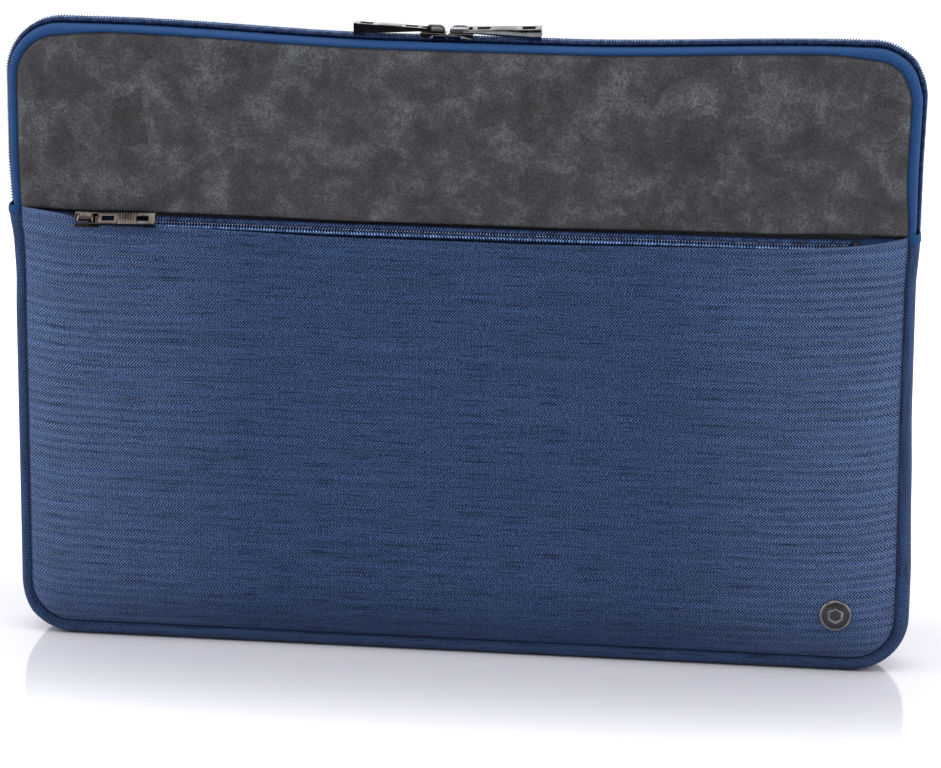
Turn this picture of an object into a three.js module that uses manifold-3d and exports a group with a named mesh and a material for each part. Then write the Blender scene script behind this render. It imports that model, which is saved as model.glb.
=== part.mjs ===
// A padded laptop sleeve that stands upright: a foam body with a zipped top that folds forward,
// a zipped front pocket, a gusset round the sides and bottom, metal zip sliders and a round badge.
// Millimetres. X is the width, Y the depth with the front at -Y, Z is up. The origin is on the
// floor, under the middle of the main zip's closing line.
import * as THREE from 'three';
import { mergeVertices } from 'three/addons/utils/BufferGeometryUtils.js';
import Module from 'manifold-3d';

const wasm = await Module();
wasm.setup();

// ---- Driving dimensions: the outline of the rim, seen from the front ----
const WIDTH = 400;
const CREST = 275.8; // height of the main zip at its lowest point
const LOW_X = -7.5; // where the main zip dips lowest, and where its two sliders meet
const RISE = 0.021; // how fast the zip climbs from there towards the two corners
const LIFT_TOP = 245; // from the fold up to here the climb grows from nothing to its full amount
const CORNER = 25;
const ARC_STEPS = 6;
const FOLD_Z = 199; // the line on which the front's upper part folds forward
const HALF_CUT = 0.15; // half the gap between the two halves of a piece that the fold crosses

// ---- Driving dimensions: the layers, as depths from the zip's middle plane ----
const SEAM = 6; // how far inside the rim the panels are sewn
const SEAM_DEPTH = 12;
const CROWN_WIDTH = 24; // a panel swells to its full depth over this distance from its seam
const UPPER_CROWN = 1.6;
const POCKET_CROWN = 6.6;
const BACK_CROWN = 3;
const CLOTH = 1;
const FOAM_FACE = 10.2; // outer face of a foam layer at its edge
const FOAM_INNER_FRONT = 9.2;
const FOAM_INNER_BACK = 10.7;
const LINING = 0.6;
const LAYER_GAP = 0.3;
const FOAM_INSET = 9.5;
const LINING_INSET = 9;
const BACKING_INSET = 12;
const BACKING_DEPTH = 11.6;
const BACKING_CROWN = 1.4;
const BACKING_THICKNESS = 0.5;

// ---- Driving dimensions: the main zip ----
const COIL_WIDTH = 2.55; // one half of the chain
const COIL_HEIGHT = 2.3;
const HALF_SLIT = 0.45;
const TAPE_TOP = -2.6; // measured out from the rim line, so below the crest
const TAPE = 0.6;
const TAB_LOW_Z = 191;

// ---- Driving dimensions: the pocket and its zip ----
const POCKET_TOP_Z = 188;
const POCKET_SIDE_Z = 195;
const HEM_LOW_Z = 195.6;
const POCKET_FLAT_X = 165; // the pocket's edge is level inside this, and climbs outside it
const POCKET_ZIP_HALF = 168;
const POCKET_TAPE_HALF = 173;
const POCKET_ZIP_Y = -14.8;
const POCKET_ZIP_Z = 191.8;
const POCKET_LEAN = THREE.MathUtils.degToRad(31.75); // the pocket zip faces forward and this far up
const POCKET_COIL_WIDTH = 2.35;
const POCKET_SLIT = 0.3;

// ---- Driving dimensions: sliders, pulls, badge ----
const SLIDER_START = 0.4; // a slider's inner end, from the point where the two meet
const SLIDER_LENGTH = 11;
const SLIDER_GAP = 0.35; // running clearance over the coil
const PLATE = 1.1;
const BRIDGE_HALF = 1.7;
const PIVOT_X = 7.6;
const PIVOT_RISE = 2.5;
const PIN_RADIUS = 0.55;
const FLANGE_START = 5.4; // the flanges cover only the slider's outer end
const BAR_START = PIVOT_X + 3.2; // the bar clears the cap as it swings up and over
const WINDOW = 5.5; // length of a pull's windows
const RIBS = 8;
const RIB_PITCH = 1.2;
const BADGE = { x: 167.7, z: 28.6, y: -18.75, radius: 7, thickness: 1.1, recess: 0.5, lip: 1.1 };

// ---- Materials ----
function material(color, roughness, metalness = 0) {
  return new THREE.MeshStandardMaterial({ color, roughness, metalness });
}
const suede = material('#4a4a4f', 0.95);
const blueCloth = material('#35517f', 0.95);
const liningCloth = material('#3c3f46', 0.9);
const foam = material('#2b2c30', 1);
const tapeCloth = material('#2d5a8c', 0.9);
const nylon = material('#141d30', 0.45);
const gunmetal = material('#55565a', 0.25, 1);

// ---- Solids from points ----
function closedGeometry(points, triangles) {
  let volume = 0;
  for (const [a, b, c] of triangles) {
    const [p, q, r] = [points[a], points[b], points[c]];
    volume += p[0] * (q[1] * r[2] - q[2] * r[1]) + p[1] * (q[2] * r[0] - q[0] * r[2])
      + p[2] * (q[0] * r[1] - q[1] * r[0]);
  }
  const outward = volume > 0 ? triangles : triangles.map(([a, b, c]) => [a, c, b]);
  const geometry = new THREE.BufferGeometry();
  geometry.setAttribute('position', new THREE.Float32BufferAttribute(points.flat(), 3));
  geometry.setIndex(outward.flat());
  return geometry;
}

// A closed section carried through a list of stations; each station maps the section's flat
// coordinates to a point in space.
function loft(stations, section) {
  const points = stations.flatMap((place) => section.map((p) => place(p[0], p[1])));
  const count = section.length;
  const triangles = [];
  for (let s = 0; s + 1 < stations.length; s += 1) {
    for (let i = 0; i < count; i += 1) {
      const a = s * count + i;
      const b = s * count + ((i + 1) % count);
      triangles.push([a, b, b + count], [a, b + count, a + count]);
    }
  }
  const outline = section.map((p) => new THREE.Vector2(p[0], p[1]));
  const turn = THREE.ShapeUtils.area(outline);
  const last = (stations.length - 1) * count;
  for (const [a, b, c] of THREE.ShapeUtils.triangulateShape(outline, [])) {
    const sameTurn = THREE.ShapeUtils.area([outline[a], outline[b], outline[c]]) * turn > 0;
    const [second, third] = sameTurn ? [b, c] : [c, b];
    triangles.push([a, third, second], [a + last, second + last, third + last]);
  }
  return closedGeometry(points, triangles);
}

// A sheet between an outer and an inner surface, given as two grids of points of one size.
function slab(outer, inner) {
  const rows = outer.length;
  const columns = outer[0].length;
  const points = [...outer.flat(), ...inner.flat()];
  const offset = rows * columns;
  const triangles = [];
  const quad = (a, b, c, d) => triangles.push([a, b, c], [a, c, d]);
  const at = (r, c) => r * columns + c;
  for (let r = 0; r + 1 < rows; r += 1) {
    for (let c = 0; c + 1 < columns; c += 1) {
      quad(at(r, c), at(r, c + 1), at(r + 1, c + 1), at(r + 1, c));
      quad(offset + at(r, c), offset + at(r + 1, c), offset + at(r + 1, c + 1), offset + at(r, c + 1));
    }
  }
  const wall = (a, b) => quad(b, a, offset + a, offset + b);
  for (let c = 0; c + 1 < columns; c += 1) {
    wall(at(0, c), at(0, c + 1));
    wall(at(rows - 1, c + 1), at(rows - 1, c));
  }
  for (let r = 0; r + 1 < rows; r += 1) {
    wall(at(r, columns - 1), at(r + 1, columns - 1));
    wall(at(r + 1, 0), at(r, 0));
  }
  return closedGeometry(points, triangles);
}

// ---- The rim ----
// The zip dips at LOW_X and climbs to both corners, and everything near it climbs with it.
function lift(x, z) {
  const share = THREE.MathUtils.clamp((z - FOLD_Z) / (LIFT_TOP - FOLD_Z), 0, 1);
  return z + RISE * Math.abs(x - LOW_X) * share;
}

// A station on the rim takes (depth, height out from the rim line) to a point.
function rimStation(x, z, normalX, normalZ) {
  return (y, out) => {
    const px = x + normalX * out;
    return [px, y, lift(px, z + normalZ * out)];
  };
}

function cornerStations(side, centreZ, fromAngle, toAngle) {
  const stations = [];
  for (let i = 0; i <= ARC_STEPS; i += 1) {
    const angle = THREE.MathUtils.degToRad(fromAngle + ((toAngle - fromAngle) * i) / ARC_STEPS);
    const normalX = side * Math.cos(angle);
    const normalZ = Math.sin(angle);
    const x = side * (WIDTH / 2 - CORNER) + CORNER * normalX;
    stations.push(rimStation(x, centreZ + CORNER * normalZ, normalX, normalZ));
  }
  return stations;
}

function upperRim(endZ) {
  const half = WIDTH / 2;
  return [
    rimStation(-half, endZ, -1, 0),
    rimStation(-half, LIFT_TOP, -1, 0),
    ...cornerStations(-1, CREST - CORNER, 0, 90),
    rimStation(LOW_X, CREST, 0, 1),
    ...cornerStations(1, CREST - CORNER, 90, 0),
    rimStation(half, LIFT_TOP, 1, 0),
    rimStation(half, endZ, 1, 0),
  ];
}

function lowerRim(endZ) {
  const half = WIDTH / 2;
  return [
    rimStation(-half, endZ, -1, 0),
    ...cornerStations(-1, CORNER, 0, -90),
    ...cornerStations(1, CORNER, -90, 0),
    rimStation(half, endZ, 1, 0),
  ];
}

function mirrored(section) {
  return section.map(([y, out]) => [-y, out]);
}

// ---- Panels ----
function crown(x, z) {
  const radius = CORNER - SEAM;
  const qx = Math.abs(x) - (WIDTH / 2 - SEAM - radius);
  const qz = Math.abs(z - CREST / 2) - (CREST / 2 - SEAM - radius);
  const inside = radius - Math.hypot(Math.max(qx, 0), Math.max(qz, 0)) - Math.min(Math.max(qx, qz), 0);
  const share = THREE.MathUtils.clamp(inside / CROWN_WIDTH, 0, 1);
  return 1 - (1 - share) ** 2;
}

function rowHeights(inset, lowZ, highZ) {
  const radius = CORNER - inset;
  const marks = [lowZ, highZ, FOLD_Z, LIFT_TOP];
  for (let i = 0; i <= ARC_STEPS; i += 1) {
    const drop = radius * (1 - Math.cos((i * Math.PI) / 2 / ARC_STEPS));
    marks.push(inset + drop, CREST - inset - drop);
  }
  marks.push(SEAM + CROWN_WIDTH, CREST - SEAM - CROWN_WIDTH);
  const inRange = marks.filter((z) => z >= lowZ && z <= highZ).sort((a, b) => a - b);
  return inRange.filter((z, i) => i === 0 || z - inRange[i - 1] > 0.05);
}

function halfWidthAt(z, inset) {
  const radius = CORNER - inset;
  const fromEnd = Math.min(z - inset, CREST - inset - z);
  const short = Math.max(radius - fromEnd, 0);
  return WIDTH / 2 - inset - radius + Math.sqrt(Math.max(radius ** 2 - short ** 2, 0));
}

function columnPositions(halfWidth) {
  const edge = [0, 3, 7, 12, 18, 24].map((step) => halfWidth - step);
  const innermost = halfWidth - 24;
  const middle = [2 / 3, 1 / 3];
  const right = [...edge, ...middle.map((share) => LOW_X + share * (innermost - LOW_X))];
  const left = [...edge.map((x) => -x), ...middle.map((share) => LOW_X - share * (innermost + LOW_X))];
  return [...left, LOW_X, ...right.reverse()];
}

// A panel of the outline that lies `inset` inside the rim, between two heights. outer and inner
// give its two faces' depth, and topEdge, if given, its upper edge as a height for each x.
function panel({ inset, lowZ = inset, highZ = CREST - inset, outer, inner, topEdge }) {
  const heights = rowHeights(inset, lowZ, highZ);
  const face = (depth) => heights.map((rowZ, row) => {
    const isTop = row === heights.length - 1;
    return columnPositions(halfWidthAt(rowZ, inset)).map((x) => {
      const z = isTop && topEdge ? topEdge(x) : rowZ;
      return [x, depth(x, z), lift(x, z)];
    });
  });
  return slab(face(outer), face(inner));
}

function frontPanelUpper() {
  return panel({
    inset: SEAM,
    lowZ: FOLD_Z + HALF_CUT,
    outer: (x, z) => -(SEAM_DEPTH + UPPER_CROWN * crown(x, z)),
    inner: (x, z) => -(SEAM_DEPTH - CLOTH + UPPER_CROWN * crown(x, z)),
  });
}

// The turned-under lower hem of the upper panel, which the pocket zip is sewn to.
function frontPanelHem() {
  return panel({
    inset: SEAM,
    lowZ: HEM_LOW_Z,
    highZ: FOLD_Z - HALF_CUT,
    outer: (x, z) => -(SEAM_DEPTH + UPPER_CROWN * crown(x, z)),
    inner: (x, z) => -(SEAM_DEPTH - CLOTH + UPPER_CROWN * crown(x, z)),
  });
}

function frontFoam(lowZ, highZ) {
  return panel({
    inset: FOAM_INSET,
    lowZ,
    highZ,
    outer: (x, z) => -(FOAM_FACE + UPPER_CROWN * crown(x, z)),
    inner: () => -FOAM_INNER_FRONT,
  });
}

function frontLining(lowZ, highZ) {
  const face = FOAM_INNER_FRONT - LAYER_GAP;
  return panel({ inset: LINING_INSET, lowZ, highZ, outer: () => -face, inner: () => -(face - LINING) });
}

function pocketTopEdge(x) {
  const climb = (Math.abs(x) - POCKET_FLAT_X) / (WIDTH / 2 - SEAM - POCKET_FLAT_X);
  return THREE.MathUtils.lerp(POCKET_TOP_Z, POCKET_SIDE_Z, THREE.MathUtils.clamp(climb, 0, 1));
}

function pocketPanel() {
  return panel({
    inset: SEAM,
    highZ: POCKET_TOP_Z,
    topEdge: pocketTopEdge,
    outer: (x, z) => -(SEAM_DEPTH + POCKET_CROWN * crown(x, z)),
    inner: (x, z) => -(SEAM_DEPTH - CLOTH + POCKET_CROWN * crown(x, z)),
  });
}

// The cloth wall between the pocket and the foam.
function pocketBacking() {
  return panel({
    inset: BACKING_INSET,
    highZ: POCKET_TOP_Z + 5,
    outer: (x, z) => -(BACKING_DEPTH + BACKING_CROWN * crown(x, z)),
    inner: (x, z) => -(BACKING_DEPTH - BACKING_THICKNESS + BACKING_CROWN * crown(x, z)),
  });
}

function backPanel() {
  return panel({
    inset: SEAM,
    outer: (x, z) => SEAM_DEPTH + BACK_CROWN * crown(x, z),
    inner: (x, z) => SEAM_DEPTH - CLOTH + BACK_CROWN * crown(x, z),
  });
}

function backFoam() {
  return panel({
    inset: FOAM_INSET,
    outer: (x, z) => SEAM_DEPTH - CLOTH - LAYER_GAP + BACK_CROWN * crown(x, z),
    inner: () => FOAM_INNER_BACK,
  });
}

function backLining() {
  const face = FOAM_INNER_BACK - LAYER_GAP;
  return panel({ inset: LINING_INSET, outer: () => face, inner: () => face - LINING });
}

// ---- Gusset ----
// Half of the gusset's outer line, from the seam to the flat, as [depth, height out of the rim].
const GUSSET_LINE = [[-12.2, -5.5], [-11.7, -2.6], [-10.4, -0.8], [-8, 0]];

function band(line, thickness, shift = 0) {
  const half = line.map(([y, out]) => [y + shift, out - shift]);
  const outer = [...half, ...mirrored(half).reverse()];
  const scale = (y) => y * (1 - thickness / SEAM_DEPTH);
  const inner = outer.map(([y, out]) => [scale(y), Math.abs(y) > 11.9 - shift ? out : out - thickness]);
  return [...outer, ...inner.reverse()];
}

function gussetStrip() {
  return loft(lowerRim(TAB_LOW_Z - LAYER_GAP), band(GUSSET_LINE, 1.2));
}

function gussetLining() {
  const line = [[-9.6, -2.9], [-8, -1.6]];
  const outer = [...line, ...mirrored(line).reverse()];
  const inner = outer.map(([y, out]) => [y * 0.97, out - LINING]);
  return loft(lowerRim(TAB_LOW_Z - LAYER_GAP), [...outer, ...inner.reverse()]);
}

// The folded cloth tab that covers the main zip's lower end on one side.
function zipEndTab(side) {
  const x = (side * WIDTH) / 2;
  const stations = [TAB_LOW_Z, FOLD_Z - HALF_CUT].map((z) => rimStation(x, z, side, 0));
  return loft(stations, band(GUSSET_LINE, 1.2));
}

// ---- Main zip ----
function frontTapeSection() {
  const bend = COIL_WIDTH + HALF_SLIT + 0.6;
  return [
    [-HALF_SLIT, TAPE_TOP],
    [-bend, TAPE_TOP],
    [-SEAM_DEPTH - 0.2, -5.3],
    [-SEAM_DEPTH, -5.7],
    [-bend, TAPE_TOP - TAPE],
    [-HALF_SLIT, TAPE_TOP - TAPE],
  ];
}

function frontCoilSection() {
  const far = -(HALF_SLIT + COIL_WIDTH);
  return [[-HALF_SLIT, 0], [far, 0], [far, -COIL_HEIGHT], [-HALF_SLIT, -COIL_HEIGHT]];
}

function mainZip(section, endZ) {
  return loft(upperRim(endZ), section);
}

// ---- Pocket zip ----
// A station takes (down across the tape, out from the tape) to a point of the leaning pocket zip.
function pocketZipStation(x) {
  const [sin, cos] = [Math.sin(POCKET_LEAN), Math.cos(POCKET_LEAN)];
  return (down, out) => [
    x,
    POCKET_ZIP_Y - sin * down - cos * out,
    POCKET_ZIP_Z - cos * down + sin * out,
  ];
}

function pocketZipStrip(halfLength, section) {
  return loft([pocketZipStation(-halfLength), pocketZipStation(halfLength)], section);
}

function rectangle(a0, b0, a1, b1) {
  return [[a0, b0], [a1, b0], [a1, b1], [a0, b1]];
}

function pocketUpperTape() {
  return pocketZipStrip(POCKET_TAPE_HALF, rectangle(-4.1, -0.45, -POCKET_SLIT, 0));
}

function pocketLowerTape() {
  return pocketZipStrip(POCKET_TAPE_HALF, rectangle(POCKET_SLIT, -0.45, 4.6, 0));
}

function pocketCoil(side) {
  const inner = side * 0.15;
  const outer = side * (0.15 + POCKET_COIL_WIDTH);
  return pocketZipStrip(POCKET_ZIP_HALF, rectangle(inner, 0.2, outer, 1.9));
}

function pocketZipStop(side) {
  const x = side * (POCKET_ZIP_HALF + LAYER_GAP);
  const stations = [pocketZipStation(x), pocketZipStation(x + side * 2)];
  return loft(stations, rectangle(-2.6, 0.2, 2.6, 2.1));
}

// ---- Metal parts ----
function toManifold(geometry) {
  const bare = geometry.clone();
  bare.deleteAttribute('normal');
  bare.deleteAttribute('uv');
  const merged = mergeVertices(bare, 1e-4);
  return new wasm.Manifold(new wasm.Mesh({
    numProp: 3,
    vertProperties: new Float32Array(merged.attributes.position.array),
    triVerts: new Uint32Array(merged.index.array),
  }));
}

function toGeometry(manifold) {
  const mesh = manifold.getMesh();
  const geometry = new THREE.BufferGeometry();
  geometry.setAttribute('position', new THREE.BufferAttribute(new Float32Array(mesh.vertProperties), 3));
  geometry.setIndex(new THREE.BufferAttribute(new Uint32Array(mesh.triVerts), 1));
  return geometry;
}

function block(x0, x1, y0, y1, z0, z1) {
  const geometry = new THREE.BoxGeometry(x1 - x0, y1 - y0, z1 - z0);
  return geometry.translate((x0 + x1) / 2, (y0 + y1) / 2, (z0 + z1) / 2);
}

// A profile drawn in x and z, extruded across the depth from -half to +half.
function crossBar(profile, half) {
  const shape = new THREE.Shape(profile.map(([x, z]) => new THREE.Vector2(x, z)));
  const geometry = new THREE.ExtrudeGeometry(shape, { depth: 2 * half, bevelEnabled: false });
  return geometry.rotateX(Math.PI / 2).translate(0, half, 0);
}

function joined(parts) {
  return parts.map(toManifold).reduce((whole, part) => whole.add(part));
}

// The slider's body, laid along +X: a top plate over the chain, a wedge post between the two
// coils, a lower plate under the tapes and a flange in front. z is measured from the coil's top.
function sliderBody({ plateHalf, coilHeight, underside }) {
  const [x0, x1] = [SLIDER_START, SLIDER_START + SLIDER_LENGTH];
  const top = SLIDER_GAP + PLATE;
  const parts = [
    block(x0, x1, -plateHalf, plateHalf, SLIDER_GAP, top),
    block(x0 + FLANGE_START, x1, -plateHalf, -plateHalf + 0.7, -coilHeight + 0.4, top),
  ];
  if (underside) {
    parts.push(block(x0, x0 + 4, -0.2, 0.2, underside - 1, top));
    parts.push(block(x0, x1, -3.2, 3.2, underside - 1, underside));
  } else {
    parts.push(block(x0 + FLANGE_START, x1, plateHalf - 0.7, plateHalf, -coilHeight + 0.4, top));
  }
  return toGeometry(joined(parts));
}

// The arched cap that holds the pull, a separate stamping that is pressed onto the body.
function sliderCap() {
  const base = SLIDER_GAP + PLATE + 0.05;
  const arch = [
    [1.2, base], [2.4, base], [2.9, base + 1.5], [4, base + 2.1], [8.2, base + 2.1], [8.5, base],
    [9.5, base], [9.2, base + 2.3], [8.4, base + 2.9], [3.4, base + 2.9], [2, base + 2.2],
  ];
  return crossBar(arch, BRIDGE_HALF);
}

// The tapered bar pull, lying outward from its pin: two cheeks outside the cap, a pin under the
// cap, two windows through the bar, ribs between them and a hollow in its outer end. It is
// 1.6 mm thick at the cap and fullHeight at its outer end, which starts drop below the pin.
function pullBar({ drop, fullHeight, length, half }) {
  const end = PIVOT_X + length;
  const low = PIVOT_RISE - drop;
  const high = low + fullHeight;
  const [thinLow, thinHigh] = [PIVOT_RISE - 0.7, PIVOT_RISE + 0.9];
  const topAt = (x) => THREE.MathUtils.mapLinear(x, BAR_START, end, thinHigh, high);
  const profile = [[BAR_START, thinLow], [BAR_START + 2, thinLow], [end, low], [end, high]];
  for (let rib = RIBS - 1; rib >= 0; rib -= 1) {
    const x = BAR_START + 9 + rib * RIB_PITCH;
    const ground = topAt(x);
    profile.push([x + 0.9, ground], [x + 0.6, ground + 0.3], [x + 0.3, ground + 0.3], [x, ground]);
  }
  profile.push([BAR_START, thinHigh]);
  const pin = new THREE.CylinderGeometry(PIN_RADIUS, PIN_RADIUS, 2 * half - 0.2, 12);
  pin.translate(PIVOT_X, 0, PIVOT_RISE);
  const cheekLow = BRIDGE_HALF + 0.4;
  const cheeks = [
    block(PIVOT_X - 0.7, BAR_START + 1, cheekLow, half, thinLow, thinHigh - 0.1),
    block(PIVOT_X - 0.7, BAR_START + 1, -half, -cheekLow, thinLow, thinHigh - 0.1),
  ];
  const whole = joined([crossBar(profile, half), pin, ...cheeks]);
  const cuts = [
    block(BAR_START + 2, BAR_START + 2 + WINDOW, 1.5 - half, half - 1.5, low - 5, high + 5),
    block(end - 2.7 - WINDOW, end - 2.7, 1.5 - half, half - 1.5, low - 5, high + 5),
    block(end - 1.8, end + 1, 1.1 - half, half - 1.1, low + 1, high - 1),
  ];
  return toGeometry(cuts.map(toManifold).reduce((bar, cut) => bar.subtract(cut), whole));
}

// ---- Badge ----
function badgeRim() {
  const { radius, thickness, recess, lip } = BADGE;
  const profile = [
    [0, 0], [radius, 0], [radius, thickness - 0.3], [radius - 0.3, thickness],
    [radius - lip, thickness], [radius - lip, thickness - recess], [0, thickness - recess],
  ].map(([r, h]) => new THREE.Vector2(r, h));
  return new THREE.LatheGeometry(profile, 40);
}

// A plain raised hexagon ring, standing on the badge's recessed floor.
function badgeEmblem() {
  const { thickness, recess } = BADGE;
  const floor = thickness - recess + 0.05;
  const profile = [[2.6, floor], [4, floor], [4, floor + 0.4], [2.6, floor + 0.4], [2.6, floor]];
  return new THREE.LatheGeometry(profile.map(([r, h]) => new THREE.Vector2(r, h)), 6);
}

function badgeWasher() {
  const profile = [[1.2, 0], [5, 0], [5, 0.5], [1.2, 0.5], [1.2, 0]];
  return new THREE.LatheGeometry(profile.map(([r, h]) => new THREE.Vector2(r, h)), 24);
}

// ---- Assembly ----
const sleeve = new THREE.Group();

function add(parent, name, geometry, look) {
  const mesh = new THREE.Mesh(geometry, look);
  mesh.name = name;
  parent.add(mesh);
  return mesh;
}

const foldLow = FOLD_Z - HALF_CUT;
const foldHigh = FOLD_Z + HALF_CUT;

add(sleeve, 'back_panel', backPanel(), blueCloth);
add(sleeve, 'back_foam', backFoam(), foam);
add(sleeve, 'back_lining', backLining(), liningCloth);
add(sleeve, 'pocket_panel', pocketPanel(), blueCloth);
add(sleeve, 'pocket_backing', pocketBacking(), liningCloth);
add(sleeve, 'front_foam_lower', frontFoam(FOAM_INSET, foldLow), foam);
add(sleeve, 'front_lining_lower', frontLining(LINING_INSET, foldLow), liningCloth);
add(sleeve, 'front_panel_hem', frontPanelHem(), suede);
add(sleeve, 'gusset_strip', gussetStrip(), blueCloth);
add(sleeve, 'gusset_lining', gussetLining(), liningCloth);
add(sleeve, 'left_zip_end_tab', zipEndTab(-1), tapeCloth);
add(sleeve, 'right_zip_end_tab', zipEndTab(1), tapeCloth);
add(sleeve, 'rear_zip_tape', mainZip(mirrored(frontTapeSection()), foldHigh), tapeCloth);
add(sleeve, 'rear_zip_coil', mainZip(mirrored(frontCoilSection()), foldHigh), nylon);

add(sleeve, 'front_panel_upper', frontPanelUpper(), suede);
add(sleeve, 'front_foam_upper', frontFoam(foldHigh, CREST - FOAM_INSET), foam);
add(sleeve, 'front_lining_upper', frontLining(foldHigh, CREST - LINING_INSET), liningCloth);
add(sleeve, 'front_zip_tape', mainZip(frontTapeSection(), foldHigh), tapeCloth);
add(sleeve, 'front_zip_coil', mainZip(frontCoilSection(), foldHigh), nylon);

add(sleeve, 'pocket_zip_upper_tape', pocketUpperTape(), tapeCloth);
add(sleeve, 'pocket_zip_lower_tape', pocketLowerTape(), tapeCloth);
add(sleeve, 'pocket_zip_upper_coil', pocketCoil(-1), nylon);
add(sleeve, 'pocket_zip_lower_coil', pocketCoil(1), nylon);
add(sleeve, 'pocket_zip_left_stop', pocketZipStop(-1), gunmetal);
add(sleeve, 'pocket_zip_right_stop', pocketZipStop(1), gunmetal);

// Each main slider points away from the place where the two meet and climbs with the zip.
const mainSlider = { plateHalf: 4.3, coilHeight: COIL_HEIGHT, underside: -4.6 };
for (const [side, name] of [[-1, 'left'], [1, 'right']]) {
  const holder = new THREE.Group();
  holder.position.set(LOW_X, 0, CREST);
  holder.rotation.y = -side * Math.atan(RISE);
  sleeve.add(holder);
  const pieces = [
    ['slider_body', sliderBody(mainSlider)],
    ['slider_cap', sliderCap()],
    ['slider_pull', pullBar({ drop: 2.3, fullHeight: 4.6, length: 32.8, half: 3.4 })],
  ];
  for (const [piece, geometry] of pieces) {
    add(holder, `${name}_${piece}`, side > 0 ? geometry : facingLeft(geometry), gunmetal);
  }
}

// The same solid mirrored in x, with its faces turned so that they still point out.
function facingLeft(geometry) {
  const flipped = geometry.index ? geometry.clone() : mergeVertices(geometry);
  flipped.scale(-1, 1, 1);
  const corners = flipped.index.array;
  for (let i = 0; i < corners.length; i += 3) {
    [corners[i + 1], corners[i + 2]] = [corners[i + 2], corners[i + 1]];
  }
  return flipped;
}

// The pocket slider stands at the left end of its chain, with its pull lying to the right.
const pocketHolder = new THREE.Group();
const [sinLean, cosLean] = [Math.sin(POCKET_LEAN), Math.cos(POCKET_LEAN)];
const pocketCoilTop = 1.9;
pocketHolder.position.set(
  -POCKET_ZIP_HALF,
  POCKET_ZIP_Y - cosLean * pocketCoilTop,
  POCKET_ZIP_Z + sinLean * pocketCoilTop,
);
pocketHolder.rotation.x = Math.PI / 2 - POCKET_LEAN;
sleeve.add(pocketHolder);
add(pocketHolder, 'pocket_slider_body', sliderBody({ plateHalf: 3.4, coilHeight: 1.8 }), gunmetal);
add(pocketHolder, 'pocket_slider_cap', sliderCap(), gunmetal);
add(pocketHolder, 'pocket_slider_pull', pullBar({ drop: 1, fullHeight: 3.4, length: 28.7, half: 2.7 }), gunmetal);

const badgeHolder = new THREE.Group();
badgeHolder.position.set(BADGE.x, BADGE.y, BADGE.z);
badgeHolder.rotation.x = Math.PI;
sleeve.add(badgeHolder);
add(badgeHolder, 'badge_rim', badgeRim(), gunmetal);
add(badgeHolder, 'badge_emblem', badgeEmblem(), gunmetal);
add(badgeHolder, 'badge_washer', badgeWasher().translate(0, -2.4, 0), gunmetal);

export default sleeve;
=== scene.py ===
# %% [markdown]
# # A padded laptop sleeve
# The sleeve stands upright on its bottom gusset. Its front is a grey suede-like panel above and a
# blue pocket below, a zip runs round the top, and a second zip closes the pocket. The metal parts
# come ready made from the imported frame. Everything soft is built here around that frame: flat
# grids are laid on the form of the padded body, and the zip coils are wound turn by turn.

# %% Load the frame
import math

import bpy
import numpy as np
from mathutils import Matrix, Vector, noise


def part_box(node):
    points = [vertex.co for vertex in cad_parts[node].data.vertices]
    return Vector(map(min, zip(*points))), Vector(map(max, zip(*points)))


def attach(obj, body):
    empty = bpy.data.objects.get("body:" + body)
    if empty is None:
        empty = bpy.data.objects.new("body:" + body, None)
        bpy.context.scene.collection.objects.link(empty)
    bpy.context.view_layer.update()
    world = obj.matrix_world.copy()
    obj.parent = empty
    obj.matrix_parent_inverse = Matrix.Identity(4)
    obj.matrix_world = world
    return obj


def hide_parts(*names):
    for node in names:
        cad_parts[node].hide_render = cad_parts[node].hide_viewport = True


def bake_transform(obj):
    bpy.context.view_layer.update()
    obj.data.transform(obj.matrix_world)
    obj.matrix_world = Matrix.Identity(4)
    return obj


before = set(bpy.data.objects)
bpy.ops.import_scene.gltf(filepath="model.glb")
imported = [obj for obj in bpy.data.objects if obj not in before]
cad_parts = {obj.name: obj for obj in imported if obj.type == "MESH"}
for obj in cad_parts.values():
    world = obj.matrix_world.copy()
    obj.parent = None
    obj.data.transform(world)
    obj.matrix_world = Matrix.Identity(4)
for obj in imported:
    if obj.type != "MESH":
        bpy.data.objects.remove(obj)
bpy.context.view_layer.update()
MM = 0.001

# %% [markdown]
# ## Camera
# The camera stands a metre and a half away, a little to the right and above, and looks through a
# long lens, so the sleeve's edges stay nearly parallel. Its place is worked out from two angles
# and a distance, so any of them can be changed alone.

# %% Camera
VIEW_AZIMUTH, VIEW_ELEVATION, VIEW_ROLL = (math.radians(a) for a in (5.85, 15.25, 0.75))
VIEW_DISTANCE = 1.464
VIEW_HEIGHT = 0.14


def place_camera():
    back = Vector((
        math.sin(VIEW_AZIMUTH) * math.cos(VIEW_ELEVATION),
        -math.cos(VIEW_AZIMUTH) * math.cos(VIEW_ELEVATION),
        math.sin(VIEW_ELEVATION),
    ))
    level = Vector((0, 0, 1)).cross(back).normalized()
    upright = back.cross(level)
    right = level * math.cos(VIEW_ROLL) + upright * math.sin(VIEW_ROLL)
    up = upright * math.cos(VIEW_ROLL) - level * math.sin(VIEW_ROLL)
    bpy.ops.object.camera_add()
    camera = bpy.context.object
    camera.name = "camera"
    turn = Matrix((right, up, back)).transposed().to_4x4()
    camera.matrix_world = Matrix.Translation(Vector((0, 0, VIEW_HEIGHT)) + back * VIEW_DISTANCE) @ turn
    camera.data.lens, camera.data.sensor_width = 127.8, 36
    camera.data.shift_x, camera.data.shift_y = 0.0098, -0.044
    camera.data.clip_start, camera.data.clip_end = 0.05, 60
    return camera


bpy.context.scene.camera = place_camera()
print("camera at", [round(v, 3) for v in bpy.context.scene.camera.location])

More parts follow.
